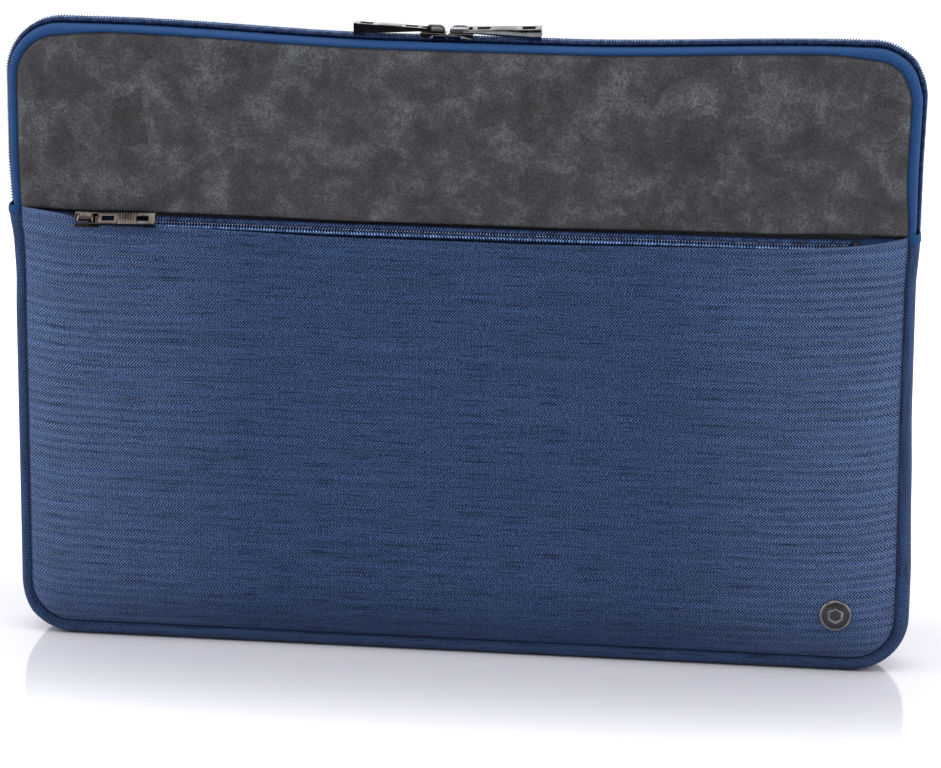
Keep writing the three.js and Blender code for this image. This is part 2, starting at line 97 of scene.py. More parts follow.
# %% [markdown]
# ## Node helpers
# Colours are written as the hex values a person would read off a screen, and one function turns
# them into the linear light that Blender works in. One more function adds a node, with its
# settings and its links, and every material below is made of calls to it.

# %% Node helpers
def linear(hex_colour):
    channels = [int(hex_colour[i:i + 2], 16) / 255 for i in (1, 3, 5)]
    return [c / 12.92 if c <= 0.04045 else ((c + 0.055) / 1.055) ** 2.4 for c in channels] + [1.0]


def add_node(tree, kind, inputs=None, stops=(), **settings):
    # an input is a value, a socket or a node, which is linked by its first output;
    # stops are the places and colours along a ramp
    node = tree.nodes.new("ShaderNode" + kind)
    for name, value in settings.items():
        setattr(node, name, value)
    if stops:
        for _ in stops[2:]:
            node.color_ramp.elements.new(0.5)
        for element, (place, tone) in zip(node.color_ramp.elements, stops):
            element.position, element.color = place, linear(tone)
    for socket, value in (inputs or {}).items():
        if isinstance(value, bpy.types.Node):
            value = value.outputs[0]
        if isinstance(value, bpy.types.NodeSocket):
            tree.links.new(value, node.inputs[socket])
        else:
            node.inputs[socket].default_value = value
    return node


def new_material(name, roughness, metallic=0.0):
    material = bpy.data.materials.new(name)
    material.use_nodes = True
    shader = material.node_tree.nodes["Principled BSDF"]
    shader.inputs["Roughness"].default_value = roughness
    shader.inputs["Metallic"].default_value = metallic
    return material, material.node_tree, shader


print("mid blue in linear light:", [round(c, 3) for c in linear("#3a5a8c")[:3]])

# %% [markdown]
# ## Stage
# The floor is a pale, faintly polished table: white enough to melt into the backdrop, smooth
# enough to give back a weak mirror image of the sleeve. Close to the sleeve its colour is painted
# grey in the tone of that mirror image, a painted reflection. The light is a studio's: one big box
# overhead and in front, two softer ones at the sides, and a pale room that fills the shadows.

# %% Stage
SLEEVE_REACH, POLISH_AND_PAINTED_REFLECTION_FULL, POLISH_AND_PAINTED_REFLECTION_GONE = 0.2, 0.03, 0.16


def floor_material():
    # the gloss is best close to the sleeve and fades to matt white away from it on every side; the
    # same mask paints the floor grey near the sleeve, a painted reflection
    material, tree, shader = new_material("white_lacquered_board", 0.09)
    shader.inputs["IOR"].default_value = 1.9
    place = add_node(tree, "SeparateXYZ", {0: add_node(tree, "TexCoord").outputs["Object"]})
    off_depth = add_node(tree, "Math", {0: place.outputs[1]}, operation="ABSOLUTE")
    off_middle = add_node(tree, "Math", {0: place}, operation="ABSOLUTE")
    off_end = add_node(tree, "Math", {0: off_middle, 1: SLEEVE_REACH}, operation="SUBTRACT")
    away = add_node(tree, "Math", {0: off_depth, 1: off_end}, operation="MAXIMUM")
    polish_and_painted_reflection = add_node(tree, "MapRange", {0: away, 1: POLISH_AND_PAINTED_REFLECTION_GONE, 2: POLISH_AND_PAINTED_REFLECTION_FULL},
                      interpolation_type="SMOOTHSTEP")
    # painted reflection: close to the sleeve the floor's colour is greyed to the tone of its mirror image
    tone = add_node(tree, "Mix", {0: polish_and_painted_reflection, 6: linear("#ffffff"), 7: linear("#cacad2")}, data_type="RGBA")
    tree.links.new(tone.outputs[2], shader.inputs["Base Color"])
    level = add_node(tree, "Math", {0: polish_and_painted_reflection, 1: 0.5}, operation="MULTIPLY")
    tree.links.new(level.outputs[0], shader.inputs["Specular IOR Level"])
    return material


def build_world():
    # a white room that is dark low down in front of the sleeve: polished metal needs something
    # dark to mirror, or it looks like chalk
    world = bpy.data.worlds.new("pale_room")
    bpy.context.scene.world = world
    world.use_nodes = True
    tree = world.node_tree
    way = add_node(tree, "SeparateXYZ", {0: add_node(tree, "TexCoord").outputs["Generated"]})
    ahead, low = (
        add_node(tree, "MapRange", {0: way.outputs[axis], 1: start, 2: end}, interpolation_type="SMOOTHSTEP")
        for axis, start, end in ((1, -0.35, -0.75), (2, 0.72, 0.5))
    )
    dark_end = add_node(tree, "Math", {0: ahead, 1: low}, operation="MULTIPLY")
    white, shadow = (1, 1, 1, 1), (0.03, 0.03, 0.035, 1)
    tone = add_node(tree, "Mix", {0: dark_end, 6: white, 7: shadow}, data_type="RGBA")
    seen = add_node(tree, "LightPath").outputs["Is Camera Ray"]
    clean = add_node(tree, "Mix", {0: seen, 6: tone.outputs[2], 7: white}, data_type="RGBA")
    tree.links.new(clean.outputs[2], tree.nodes["Background"].inputs[0])
    tree.nodes["Background"].inputs[1].default_value = 1.35


def add_softbox(name, place, aim, size, power):
    bpy.ops.object.light_add(type="AREA", location=place)
    light = bpy.context.object
    light.name = name
    light.data.shape = "RECTANGLE"
    light.data.size, light.data.size_y = size
    light.data.energy = power
    light.rotation_euler = (Vector(aim) - Vector(place)).to_track_quat("-Z", "Y").to_euler()
    return light


def build_stage():
    bpy.ops.mesh.primitive_plane_add(size=14, location=(0, 6.1, 0))
    floor = bpy.context.object
    floor.name = "floor"
    bpy.ops.object.transform_apply(location=True)
    floor.data.materials.append(floor_material())
    build_world()
    middle = (0, 0, 0.14)
    add_softbox("overhead_softbox", (-0.1, -0.5, 1.5), middle, (1.4, 0.7), 9)
    add_softbox("left_softbox", (-1.4, -0.35, 0.6), middle, (0.5, 1.1), 9)
    add_softbox("right_softbox", (1.4, -0.35, 0.6), middle, (0.5, 1.1), 8)


bpy.context.scene.view_settings.view_transform = "Standard"
build_stage()

# %% [markdown]
# ## Blue melange cloth
# The pocket, the gusset and the back are one woven polyester with a herringbone: narrow rows of
# slanting ribs that lean one way in one row and the other way in the next. The yarn is spun from
# dark and light fibres, so short dark streaks run along the rows. Folding the height with a
# ping-pong and adding it to the width turns straight ribs into chevrons, which is far lighter
# than modelling threads. The rows are 2 mm high and the ribs 1.4 mm apart. Near both sides light
# is painted into the colour: the whole cloth is painted lighter, the rows leaning one way more so,
# and a painted sheen lies on the ribs. The gusset has the same cloth without that painted light,
# because its map runs along the strip and not across the sleeve.

# %% Blue melange cloth
ROW = 2.0 * MM
RIB = 1.42 * MM
RIB_STEEPNESS = 1.23
MELANGE = "#475d83", "#1c3156", "#07122b", "#090e1c"


def scaled_noise(tree, across, along, across_mm, along_mm, detail):
    # noise whose blotches are across_mm wide and along_mm high on the cloth
    place = add_node(tree, "CombineXYZ", {
        axis: add_node(tree, "Math", {0: way, 1: 1 / (size * MM)}, operation="MULTIPLY")
        for axis, way, size in ((0, across, across_mm), (1, along, along_mm))
    })
    return add_node(tree, "TexNoise", {"Vector": place, "Scale": 1.0, "Detail": detail})


def wave_over(tree, distance, period):
    # a sine wave that comes back every period metres
    phase = add_node(tree, "Math", {0: distance, 1: 2 * math.pi / period}, operation="MULTIPLY")
    return add_node(tree, "Math", {0: phase}, operation="SINE")


def melange_cloth(name, edge_painted_light, edge_painted_row_light, edge_painted_sheen):
    # edge_painted_light, edge_painted_row_light and edge_painted_sheen set the painted light near both sides:
    # how much lighter the cloth is painted, how much the rows leaning one way are painted lighter, and how
    # much painted sheen lies on the ribs
    light, middle, dark, streak = MELANGE
    material, tree, shader = new_material(name, 0.82)
    cloth = add_node(tree, "UVMap", uv_map="cloth")
    parts = add_node(tree, "SeparateXYZ", {0: cloth})
    across, along = parts.outputs[0], parts.outputs[1]
    wander = scaled_noise(tree, across, along, 60, 7, 2)
    shifted = add_node(tree, "Math", {0: wander, 1: 2.2 * MM, 2: along}, operation="MULTIPLY_ADD")
    folded = add_node(tree, "Math", {0: shifted, 1: ROW}, operation="PINGPONG")
    slanted = add_node(tree, "Math", {0: folded, 1: RIB_STEEPNESS, 2: across}, operation="MULTIPLY_ADD")
    wave = wave_over(tree, slanted, RIB)
    fibre = scaled_noise(tree, across, along, 1.4, 0.55, 2)
    rib = add_node(tree, "Math", {0: wave, 1: 0.31, 2: fibre}, operation="MULTIPLY_ADD")
    ramp = add_node(tree, "ValToRGB", {0: rib}, ((0.2, dark), (0.5, middle), (0.84, light)))
    streaks = scaled_noise(tree, across, along, 17, 0.7, 3)
    streak_share = add_node(tree, "MapRange", {0: streaks, 1: 0.53, 2: 0.7, 3: 0.0, 4: 0.8})
    streaked = add_node(tree, "Mix", {0: streak_share, 6: ramp, 7: linear(streak)}, data_type="RGBA")
    bands = scaled_noise(tree, across, along, 75, 2.6, 3)
    band_share = add_node(tree, "MapRange", {0: bands, 1: 0.3, 2: 0.7, 3: 0.82, 4: 1.18})
    from_middle = add_node(tree, "Math", {0: across}, operation="ABSOLUTE")
    # painted light: near both sides the cloth is painted lighter, and alternate rows more so, for side light
    # falling on the curved panel
    painted_edge_light, painted_row_light, painted_sheen_edge = (
        add_node(tree, "MapRange", {0: from_middle, 1: start * MM, 2: end * MM, 3: inner, 4: outer})
        for start, end, inner, outer in ((90, 190, 1.0, edge_painted_light), (70, 180, -0.02, edge_painted_row_light),
                                         (90, 185, 0.0, edge_painted_sheen))
    )
    row_wave = wave_over(tree, shifted, 2 * ROW)
    painted_light_tone = add_node(tree, "Math", {0: row_wave, 1: painted_row_light, 2: painted_edge_light}, operation="MULTIPLY_ADD")
    tone = add_node(tree, "Math", {0: band_share, 1: painted_light_tone}, operation="MULTIPLY")
    shaded = add_node(tree, "Mix", {0: 1.0, 6: streaked.outputs[2], 7: tone},
                      data_type="RGBA", blend_type="MULTIPLY")
    # painted sheen: near both sides a pale veil is mixed onto the ribs of one set of rows
    painted_sheen_row = add_node(tree, "Math", {0: row_wave, 1: -0.55, 2: 1.0}, operation="MULTIPLY_ADD")
    painted_sheen_rib = add_node(tree, "MapRange", {0: wave, 1: -0.3, 2: 1.0, 3: 0.0, 4: 3.0})
    painted_sheen_place = add_node(tree, "Math", {0: painted_sheen_edge, 1: painted_sheen_row}, operation="MULTIPLY")
    painted_sheen = add_node(tree, "Math", {0: painted_sheen_place, 1: painted_sheen_rib}, operation="MULTIPLY")
    painted_sheened = add_node(tree, "Mix", {0: painted_sheen, 6: shaded.outputs[2], 7: linear("#c4c8cf")}, data_type="RGBA")
    tree.links.new(painted_sheened.outputs[2], shader.inputs["Base Color"])
    relief = add_node(tree, "Bump", {"Height": rib, "Distance": 0.14 * MM, "Strength": 0.6})
    tree.links.new(relief.outputs[0], shader.inputs["Normal"])
    shader.inputs["Specular IOR Level"].default_value = 0.12
    shader.inputs["Sheen Weight"].default_value = 0.03
    shader.inputs["Sheen Roughness"].default_value = 0.5
    return material


# the blue cloth has the painted side light and painted sheen; the gusset's cloth keeps only the faint painted
# row light of the middle
blue_cloth = melange_cloth("melange_polyester_herringbone", 1.42, -0.1, 0.03)
gusset_melange = melange_cloth("gusset_melange_herringbone", 1.0, -0.02, 0.0)
print("herringbone row and rib, mm:", ROW / MM, RIB / MM)

# %% [markdown]
# ## Grey suede cloth
# The upper front is a brushed microfibre printed in clouds: soft patches one to two centimetres
# across run from charcoal to a cooler grey, and a faint diagonal nap lies over everything. A noise
# with much detail makes the clouds, and here and there a sharp-edged facet shows like a crease in
# leather.

# %% Grey suede cloth
NAP = 1.9 * MM


def suede_cloth(name):
    material, tree, shader = new_material(name, 0.88)
    cloth = add_node(tree, "UVMap", uv_map="cloth")
    bent = add_node(tree, "TexNoise", {"Vector": cloth, "Scale": 60, "Detail": 4})
    push = add_node(tree, "VectorMath", {0: bent.outputs["Color"], 1: (0.5, 0.5, 0.5)}, operation="SUBTRACT")
    small = add_node(tree, "VectorMath", {0: push, "Scale": 0.012}, operation="SCALE")
    place = add_node(tree, "VectorMath", {0: cloth, 1: small}, operation="ADD")
    clouds = add_node(tree, "TexNoise", {"Vector": place, "Scale": 50, "Detail": 8, "Roughness": 0.76})
    ramp = add_node(tree, "ValToRGB", {0: clouds}, ((0.36, "#211e24"), (0.5, "#313035"), (0.66, "#4c4f52")))
    facets = add_node(tree, "TexVoronoi", {"Vector": place, "Scale": 62})
    facet = add_node(tree, "SeparateXYZ", {0: facets.outputs["Color"]})
    patchy = add_node(tree, "TexNoise", {"Vector": cloth, "Scale": 22, "Detail": 1})
    patch_share = add_node(tree, "MapRange", {0: patchy, 1: 0.42, 2: 0.58, 3: 0.15, 4: 0.95})
    facet_tone = add_node(tree, "MapRange", {0: facet, 3: 0.62, 4: 1.3})
    creased = add_node(tree, "Mix", {0: patch_share, 6: ramp, 7: facet_tone},
                       data_type="RGBA", blend_type="MULTIPLY")
    parts = add_node(tree, "SeparateXYZ", {0: cloth})
    lean = add_node(tree, "Math", {0: parts.outputs[1], 1: 1.6, 2: parts}, operation="MULTIPLY_ADD")
    nap = wave_over(tree, lean, NAP)
    grain = add_node(tree, "TexNoise", {"Vector": cloth, "Scale": 900, "Detail": 3})
    pile = add_node(tree, "Math", {0: nap, 1: 0.06, 2: grain}, operation="MULTIPLY_ADD")
    pile_shade = add_node(tree, "MapRange", {0: pile, 1: 0.3, 2: 0.7, 3: 0.5, 4: 1.55})
    brushed = add_node(tree, "Mix", {0: 1.0, 6: creased.outputs[2], 7: pile_shade},
                       data_type="RGBA", blend_type="MULTIPLY")
    tree.links.new(brushed.outputs[2], shader.inputs["Base Color"])
    relief = add_node(tree, "Bump", {"Height": pile, "Distance": 0.08 * MM, "Strength": 0.5})
    tree.links.new(relief.outputs[0], shader.inputs["Normal"])
    shader.inputs["Sheen Weight"].default_value = 0.2
    shader.inputs["Sheen Roughness"].default_value = 0.4
    return material


grey_suede = suede_cloth("brushed_microfibre_cloud_print")
print("cloth materials so far:", blue_cloth.name, grey_suede.name)

# %% [markdown]
# ## Zip tape, coil, lining, foam and thread
# Zip tape is a tight twill, so a fine slanting rib covers a clear mid blue. The coil is extruded
# nylon monofilament, smooth and navy, which gives small sharp glints. The lining is a plain dark
# woven nylon with a slight gloss, and the foam is a matt open-celled sheet full of small pores.
# The same smooth material with other tones serves for sewing thread and for the lacquered stops.

# %% Twill, lining, foam, nylon and thread
def ribbed_cloth(name, low, high, rib_mm, lean, roughness):
    material, tree, shader = new_material(name, roughness)
    cloth = add_node(tree, "UVMap", uv_map="cloth")
    parts = add_node(tree, "SeparateXYZ", {0: cloth})
    slant = add_node(tree, "Math", {0: parts.outputs[1], 1: lean, 2: parts}, operation="MULTIPLY_ADD")
    wave = wave_over(tree, slant, rib_mm * MM)
    fibre = scaled_noise(tree, parts.outputs[0], parts.outputs[1], 1.3, 0.9, 3)
    rib = add_node(tree, "Math", {0: wave, 1: 0.34, 2: fibre}, operation="MULTIPLY_ADD")
    ramp = add_node(tree, "ValToRGB", {0: rib}, ((0.25, low), (0.75, high)))
    tree.links.new(ramp.outputs[0], shader.inputs["Base Color"])
    relief = add_node(tree, "Bump", {"Height": rib, "Distance": 0.12 * MM, "Strength": 0.6})
    tree.links.new(relief.outputs[0], shader.inputs["Normal"])
    shader.inputs["Specular IOR Level"].default_value = 0.15
    return material


def pored_foam(name):
    material, tree, shader = new_material(name, 0.95)
    place = add_node(tree, "TexCoord")
    pores = add_node(tree, "TexVoronoi", {"Vector": place.outputs["Object"], "Scale": 900})
    shade = add_node(tree, "ValToRGB", {0: pores}, ((0, "#17181a"), (1, "#3a3b3f")))
    tree.links.new(shade.outputs[0], shader.inputs["Base Color"])
    relief = add_node(tree, "Bump", {"Height": pores, "Distance": 0.3 * MM})
    tree.links.new(relief.outputs[0], shader.inputs["Normal"])
    return material


def monofilament(name, low, high, roughness):
    material, tree, shader = new_material(name, roughness)
    place = add_node(tree, "TexCoord")
    tone = add_node(tree, "TexNoise", {"Vector": place.outputs["Object"], "Scale": 420, "Detail": 2})
    ramp = add_node(tree, "ValToRGB", {0: tone}, ((0.35, low), (0.65, high)))
    tree.links.new(ramp.outputs[0], shader.inputs["Base Color"])
    shader.inputs["IOR"].default_value = 1.53
    shader.inputs["Specular IOR Level"].default_value = 0.3
    return material


tape_twill = ribbed_cloth("zip_tape_twill", "#081a36", "#234f86", 1.3, 1.0, 0.8)
# painted shade: the pocket zip's tapes are a dark navy twill because they lie in shadow under the grey
# panel's hem
painted_shade_twill = ribbed_cloth("pocket_zip_tape_twill", "#070c18", "#14233f", 0.95, 1.0, 0.8)
# painted shade: the tails at the ends of the pocket's mouth are painted darker than the blue cloth, for the
# shadow in that recess
painted_shade_tail_cloth = ribbed_cloth("zip_tail_twill", "#0a1630", "#1b3156", 0.95, 1.0, 0.8)
lining_cloth = ribbed_cloth("plain_woven_nylon_lining", "#26282e", "#43464e", 0.6, 0.0, 0.6)
padding = pored_foam("open_cell_foam")
nylon = monofilament("nylon_monofilament", "#101f42", "#2a4678", 0.2)
# real sewing thread, given a light tone so that its beads also stand for the glints on the coil turns: part
# painted highlight
thread = monofilament("sewing_thread_with_painted_glints", "#3c64a4", "#94b8e6", 0.6)
dark_thread = monofilament("shaded_sewing_thread", "#182a4a", "#304c7c", 0.7)
lacquer = monofilament("matt_black_lacquer", "#090b10", "#141820", 0.75)
print("soft materials:", tape_twill.name, lining_cloth.name, padding.name, nylon.name, thread.name)

# %% [markdown]
# ## Black nickel
# The sliders, pulls and badge are zinc castings with a polished black nickel plate. What the eye
# sees is mostly the room: a dark neutral metal with low roughness, and very faint wear that
# softens some of the glints. The pocket's slider and pull are given a darker, browner plate.

# %% Black nickel
def plated_metal(name, tone, worn):
    material, tree, shader = new_material(name, 0.14, metallic=1.0)
    place = add_node(tree, "TexCoord")
    rub = add_node(tree, "TexNoise", {"Vector": place.outputs["Object"], "Scale": 260, "Detail": 4})
    shade = add_node(tree, "ValToRGB", {0: rub}, ((0.4, tone), (0.7, worn)))
    tree.links.new(shade.outputs[0], shader.inputs["Base Color"])
    gloss = add_node(tree, "MapRange", {0: rub, 1: 0.3, 2: 0.7, 3: 0.06, 4: 0.17})
    tree.links.new(gloss.outputs[0], shader.inputs["Roughness"])
    return material


black_nickel = plated_metal("polished_black_nickel", "#5d5d62", "#77777b")
# a darker, browner copy of the plate, used for the pocket's slider, pull and cap
darker_browner_nickel = plated_metal("darker_browner_black_nickel", "#35312f", "#4d4845")
print("metals:", black_nickel.name, darker_browner_nickel.name)

# %% [markdown]
# ## The form of the padded body
# Every cloth piece follows one form. Its rim is a rectangle with rounded corners, and between the
# two top corners the rim sags by a few millimetres. A panel leaves its seam at the rim and swells
# to its full depth over a few centimetres, which is its crown. Small slow ripples keep a panel
# from looking moulded. These are functions of the width x and the height z, in metres.

# %% The form
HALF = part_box("gusset_strip")[1].x
SEAM_DEPTH = 12 * MM
CORNER = 25 * MM
SEAM = 6 * MM
CREST = 275.8 * MM
LOW_X = -7.5 * MM
LIFT_TOP = 245 * MM
SAG = 3.5 * MM
FOLD_Z = (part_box("front_panel_hem")[1].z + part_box("front_panel_upper")[0].z) / 2
SAG_X = 6 * MM
# pairs of a height and the distance by which that side is drawn in
DRAWN_LEFT = np.array([(0, 3.5), (150, 3.5), (166, 3.9), (183, 3.0), (190, 1.6), (200, 0.9), (215, 0)]) * MM
DRAWN_RIGHT = np.array([(30, 0), (48, 0.1), (71, 1.2), (94, 1.9), (116, 3), (139, 3.5), (162, 3.9),
                        (175, 4.1), (190, 3.2), (225, 3.4), (250, 3), (276, 2.6)]) * MM
WAIST_X = np.array([-194, -178, -168, -157, -144, -105, -79, -53, 0, 42, 59, 81, 102, 136, 146, 154, 162,
                    178, 184, 194]) * MM
WAIST_LIFT = np.array([0.9, 0.9, 0.4, 0.8, 1.1, 1.1, 0.9, 0.4, 0.6, 0.5, 0.7, 1.1, 1.3, 1.3, 1.8, 2.2, 2.5,
                       2.5, 2.1, 2.1]) * MM


def waist_lift(x, z):
    # the middle of the front was pulled up unevenly when the pocket's zip was sewn in
    smooth = sum(np.interp(x + shift, WAIST_X, WAIST_LIFT) for shift in np.linspace(-6, 6, 7) * MM) / 7
    return smooth * np.interp(z, np.array([120, 188, 201, 240]) * MM, [0, 1, 1, 0])


def seam_lift(x, z):
    # the seam below the front tape climbs towards the coil, and hides the lower part of the tape
    share = np.clip((176 * MM - np.abs(x)) / (18 * MM), 0, 1)
    return share * np.interp(z, np.array([250, 269.8, 272.4, 273.3]) * MM, np.array([0, 1.9, 0.6, 0]) * MM)


def seam_shift(x, z):
    # the right-hand seam of the grey panel stands further in, so more of the tape shows there
    share = np.interp(x, np.array([150, 193, 196.5, 198]) * MM, [0, 1, 0.5, 0])
    return 1.5 * MM * share * np.interp(z, np.array([202, 216, 258, 268]) * MM, [0, 1, 1, 0])


def settle(x, z):
    # the top rim sags between its corners, and both sides are drawn in a little by their seams
    share = np.clip((z - FOLD_Z) / (LIFT_TOP - FOLD_Z), 0, 1)
    out = np.clip((np.abs(x - SAG_X) - 38 * MM) / (120 * MM), 0, 1)
    drawn = np.where(x < 0, np.interp(z, *DRAWN_LEFT.T), np.interp(z, *DRAWN_RIGHT.T))
    reach = np.clip((np.abs(x) - 145 * MM) / (49 * MM), 0, 1)
    beyond = np.clip((np.abs(x) - (HALF - SEAM)) / SEAM, 0, 1)
    inward = drawn * (0.57 * reach ** 2 * (3 - 2 * reach) + 0.43 * beyond)
    lifted = z + waist_lift(x, z) + seam_lift(x, z)
    return x - np.sign(x) * inward - seam_shift(x, z), lifted + SAG * out ** 2 * (3 - 2 * out) * share


def inboard(x, z, inset=SEAM):
    radius = CORNER - inset
    qx = np.abs(x) - (HALF - inset - radius)
    qz = np.abs(z - CREST / 2) - (CREST / 2 - inset - radius)
    return radius - np.hypot(np.maximum(qx, 0), np.maximum(qz, 0)) - np.minimum(np.maximum(qx, qz), 0)


def crown(x, z, width=24 * MM):
    share = np.clip(inboard(x, z) / width, 0, 1)
    return 1 - (1 - share) ** 2


def ripple(x, z, size, seed):
    flat = [noise.noise(Vector((a / size, b / size, seed))) for a, b in zip(np.ravel(x), np.ravel(z))]
    return np.array(flat).reshape(np.shape(x))


print("half width, fold height, mm:", round(HALF / MM, 2), round(FOLD_Z / MM, 2))

# %% [markdown]
# ## Laying a grid on the form
# A panel starts as a plain grid from Blender's own primitives. Each of its points is given a place
# by two numbers, its share across and its share up, so the same few lines make every panel. The
# rows are close together round the corners and near the seam, where the form bends most. The flat
# cloth coordinates are kept as a UV map in metres, so a weave has its real size on any piece, and
# the flat size of each finished cloth is noted in CUT. The last helper says what a piece moves
# with and which plain solids of the frame it takes the place of.

# %% Grid helpers
CUT = {}


def select_only(piece):
    bpy.ops.object.select_all(action="DESELECT")
    piece.select_set(True)
    bpy.context.view_layer.objects.active = piece


def new_grid(name, across, along):
    bpy.ops.mesh.primitive_grid_add(x_subdivisions=across, y_subdivisions=along, size=2)
    piece = bpy.context.object
    piece.name = piece.data.name = name
    points = np.zeros(len(piece.data.vertices) * 3)
    piece.data.vertices.foreach_get("co", points)
    points = points.reshape(-1, 3)
    return piece, (points[:, 0] + 1) / 2, (points[:, 1] + 1) / 2


def between(values, index):
    # the value at a place counted in steps along a list
    return np.interp(index, np.arange(len(values)), values)


def set_points(piece, x, y, z):
    points = np.column_stack([x, y, z])
    piece.data.vertices.foreach_set("co", points.ravel())
    piece.data.update()


def set_cloth_map(piece, across, along):
    while piece.data.uv_layers:
        piece.data.uv_layers.remove(piece.data.uv_layers[0])
    layer = piece.data.uv_layers.new(name="cloth")
    corners = np.zeros(len(piece.data.loops), int)
    piece.data.loops.foreach_get("vertex_index", corners)
    layer.data.foreach_set("uv", np.column_stack([across, along])[corners].ravel())


def apply_modifier(piece, kind, **settings):
    select_only(piece)
    modifier = piece.modifiers.new(kind.lower(), kind)
    for name, value in settings.items():
        setattr(modifier, name, value)
    bpy.ops.object.modifier_apply(modifier=modifier.name)


def dress(piece, material):
    piece.data.materials.clear()
    piece.data.materials.append(material)


def finish_cloth(piece, thickness, material):
    # the flat size is read off the cloth map; then the thickness goes inwards, and the cut edges
    # are rounded like folded cloth
    flat = np.zeros(len(piece.data.loops) * 2)
    piece.data.uv_layers["cloth"].data.foreach_get("uv", flat)
    CUT[piece.name] = tuple(float(v) for v in np.ptp(flat.reshape(-1, 2), axis=0))
    apply_modifier(piece, "SOLIDIFY", thickness=thickness, offset=-1, use_quality_normals=True)
    apply_modifier(
        piece, "BEVEL", width=0.3 * thickness, segments=2, limit_method="ANGLE", angle_limit=math.radians(60),
    )
    select_only(piece)
    bpy.ops.object.shade_smooth_by_angle(angle=math.radians(50))
    dress(piece, material)


def cut_mm(piece):
    return [round(v / MM) for v in CUT[piece.name]]


def belong(piece, body, *nodes):
    # a piece moves with one body, or, for the fold, keeps its baked place and moves with none; it
    # takes over nodes of the frame
    if body == "fold":
        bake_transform(piece)
    else:
        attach(piece, body)
    if nodes:
        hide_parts(*nodes)


print("grid helpers ready")

# %% [markdown]
# ## Panels
# A panel function takes the inset of its outline, the heights between which it lies, and a depth
# function. A free edge, such as the pocket's mouth or the grey panel's lower edge, is turned over
# like a real hem: the last rows of the grid run round a small radius and back inside the panel.

# %% Panel rows and columns
HEM_RADIUS = 0.9 * MM
ARC_ROWS = 9
STEP = 4 * MM
EDGE_INSETS = np.array([0, 0.8, 2, 3.6, 5.6, 8, 11, 14.5, 18.5]) * MM


def panel_rows(inset, low, high, round_low, round_high):
    radius = CORNER - inset
    turn = radius * (1 - np.cos(np.linspace(0, math.pi / 2, ARC_ROWS)))
    start = low + turn if round_low else low + EDGE_INSETS
    end = high - turn[::-1] if round_high else high - EDGE_INSETS[::-1]
    gap = end[0] - start[-1]
    middle = np.linspace(start[-1], end[0], max(2, round(gap / STEP)) + 1)[1:-1]
    return np.concatenate([start, middle, end])


def half_width_at(z, inset):
    radius = CORNER - inset
    from_end = np.minimum(z - inset, CREST - inset - z)
    short = np.clip(radius - from_end, 0, radius)
    return HALF - inset - radius + np.sqrt(radius ** 2 - short ** 2)


def columns_at(share, half_width):
    # places along a row: close together near both seams and even between them
    inner = EDGE_INSETS[-1]
    count = round(2 * (HALF - inner) / STEP)
    edge = len(EDGE_INSETS) - 1
    position = share * (2 * edge + count)
    from_left = between(EDGE_INSETS, position)
    from_right = between(EDGE_INSETS, 2 * edge + count - position)
    middle = np.clip((position - edge) / count, 0, 1)
    x = -half_width + inner + middle * 2 * (half_width - inner)
    x = np.where(position < edge, -half_width + from_left, x)
    return np.where(position > edge + count, half_width - from_right, x)


COLUMNS = 2 * (len(EDGE_INSETS) - 1) + round(2 * (HALF - EDGE_INSETS[-1]) / STEP)


def lay_panel(name, depth, inset=SEAM, low=None, high=None, facing=-1, hem=None, mouth=None, drift=None):
    # facing is -1 for the front and 1 for the back; hem turns the top or bottom edge inside;
    # mouth gives the height of a top edge that isn't level; drift moves the weave up its cloth
    round_low, round_high = low is None, high is None
    low = inset if round_low else low
    high = CREST - inset if round_high else high
    rows = panel_rows(inset, low, high, round_low, round_high)
    rise, tuck, turned_in = (np.zeros(len(rows)) for _ in range(3))
    if hem:
        turn = np.linspace(0, math.pi, 7)[1:]
        hem_rise = np.append(HEM_RADIUS * np.sin(turn), [-4 * MM, -9 * MM])
        hem_tuck = np.append(HEM_RADIUS * (1 - np.cos(turn)), [2 * HEM_RADIUS] * 2)
        at = len(rows) if hem == "top" else 0
        edge = rows[-1] if hem == "top" else rows[0]
        order = 1 if hem == "top" else -1
        hem_run = np.cumsum(np.hypot(np.diff(hem_rise, prepend=0), np.diff(hem_tuck, prepend=0)))
        rows = np.insert(rows, at, [edge] * len(hem_rise))
        rise = np.insert(rise, at, (order * hem_rise)[::order])
        tuck = np.insert(tuck, at, hem_tuck[::order])
        turned_in = np.insert(turned_in, at, (order * hem_run)[::order])
    piece, share, up = new_grid(name, COLUMNS, len(rows) - 1)
    if facing > 0:
        share = 1 - share
    index = up * (len(rows) - 1)
    z = between(rows, index)
    x = columns_at(share, half_width_at(z, inset))
    if mouth:
        reach = (z - low) / (high - low)
        z = z + reach ** 3 * (mouth(x) - high)
    y = depth(x, z) - facing * between(tuck, index)
    set_points(piece, settle(x, z)[0], y, z + between(rise, index) + settle(x, z)[1] - z)
    weave_shift = drift(x) if drift else 0 * x
    set_cloth_map(piece, x, z + between(turned_in, index) - weave_shift)
    return piece


print("columns in a panel:", COLUMNS)

# %% [markdown]
# ## Grey upper panel
# The grey panel is cut in one piece, from the top seam down to a hem that hangs just over the
# pocket's zip. Its edge rolls back into the seam, which makes the dark groove beside the zip
# tape. In the frame it is two solids, because the top folds forward. Here it is one cloth laid
# across that fold.

# %% Grey upper panel
CURL = 1.7 * MM
OUTER_CLOTH, LINING_CLOTH = 0.9 * MM, 0.5 * MM
HEM_LOW_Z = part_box("front_panel_hem")[0].z
POCKET_TOP = 189.1 * MM


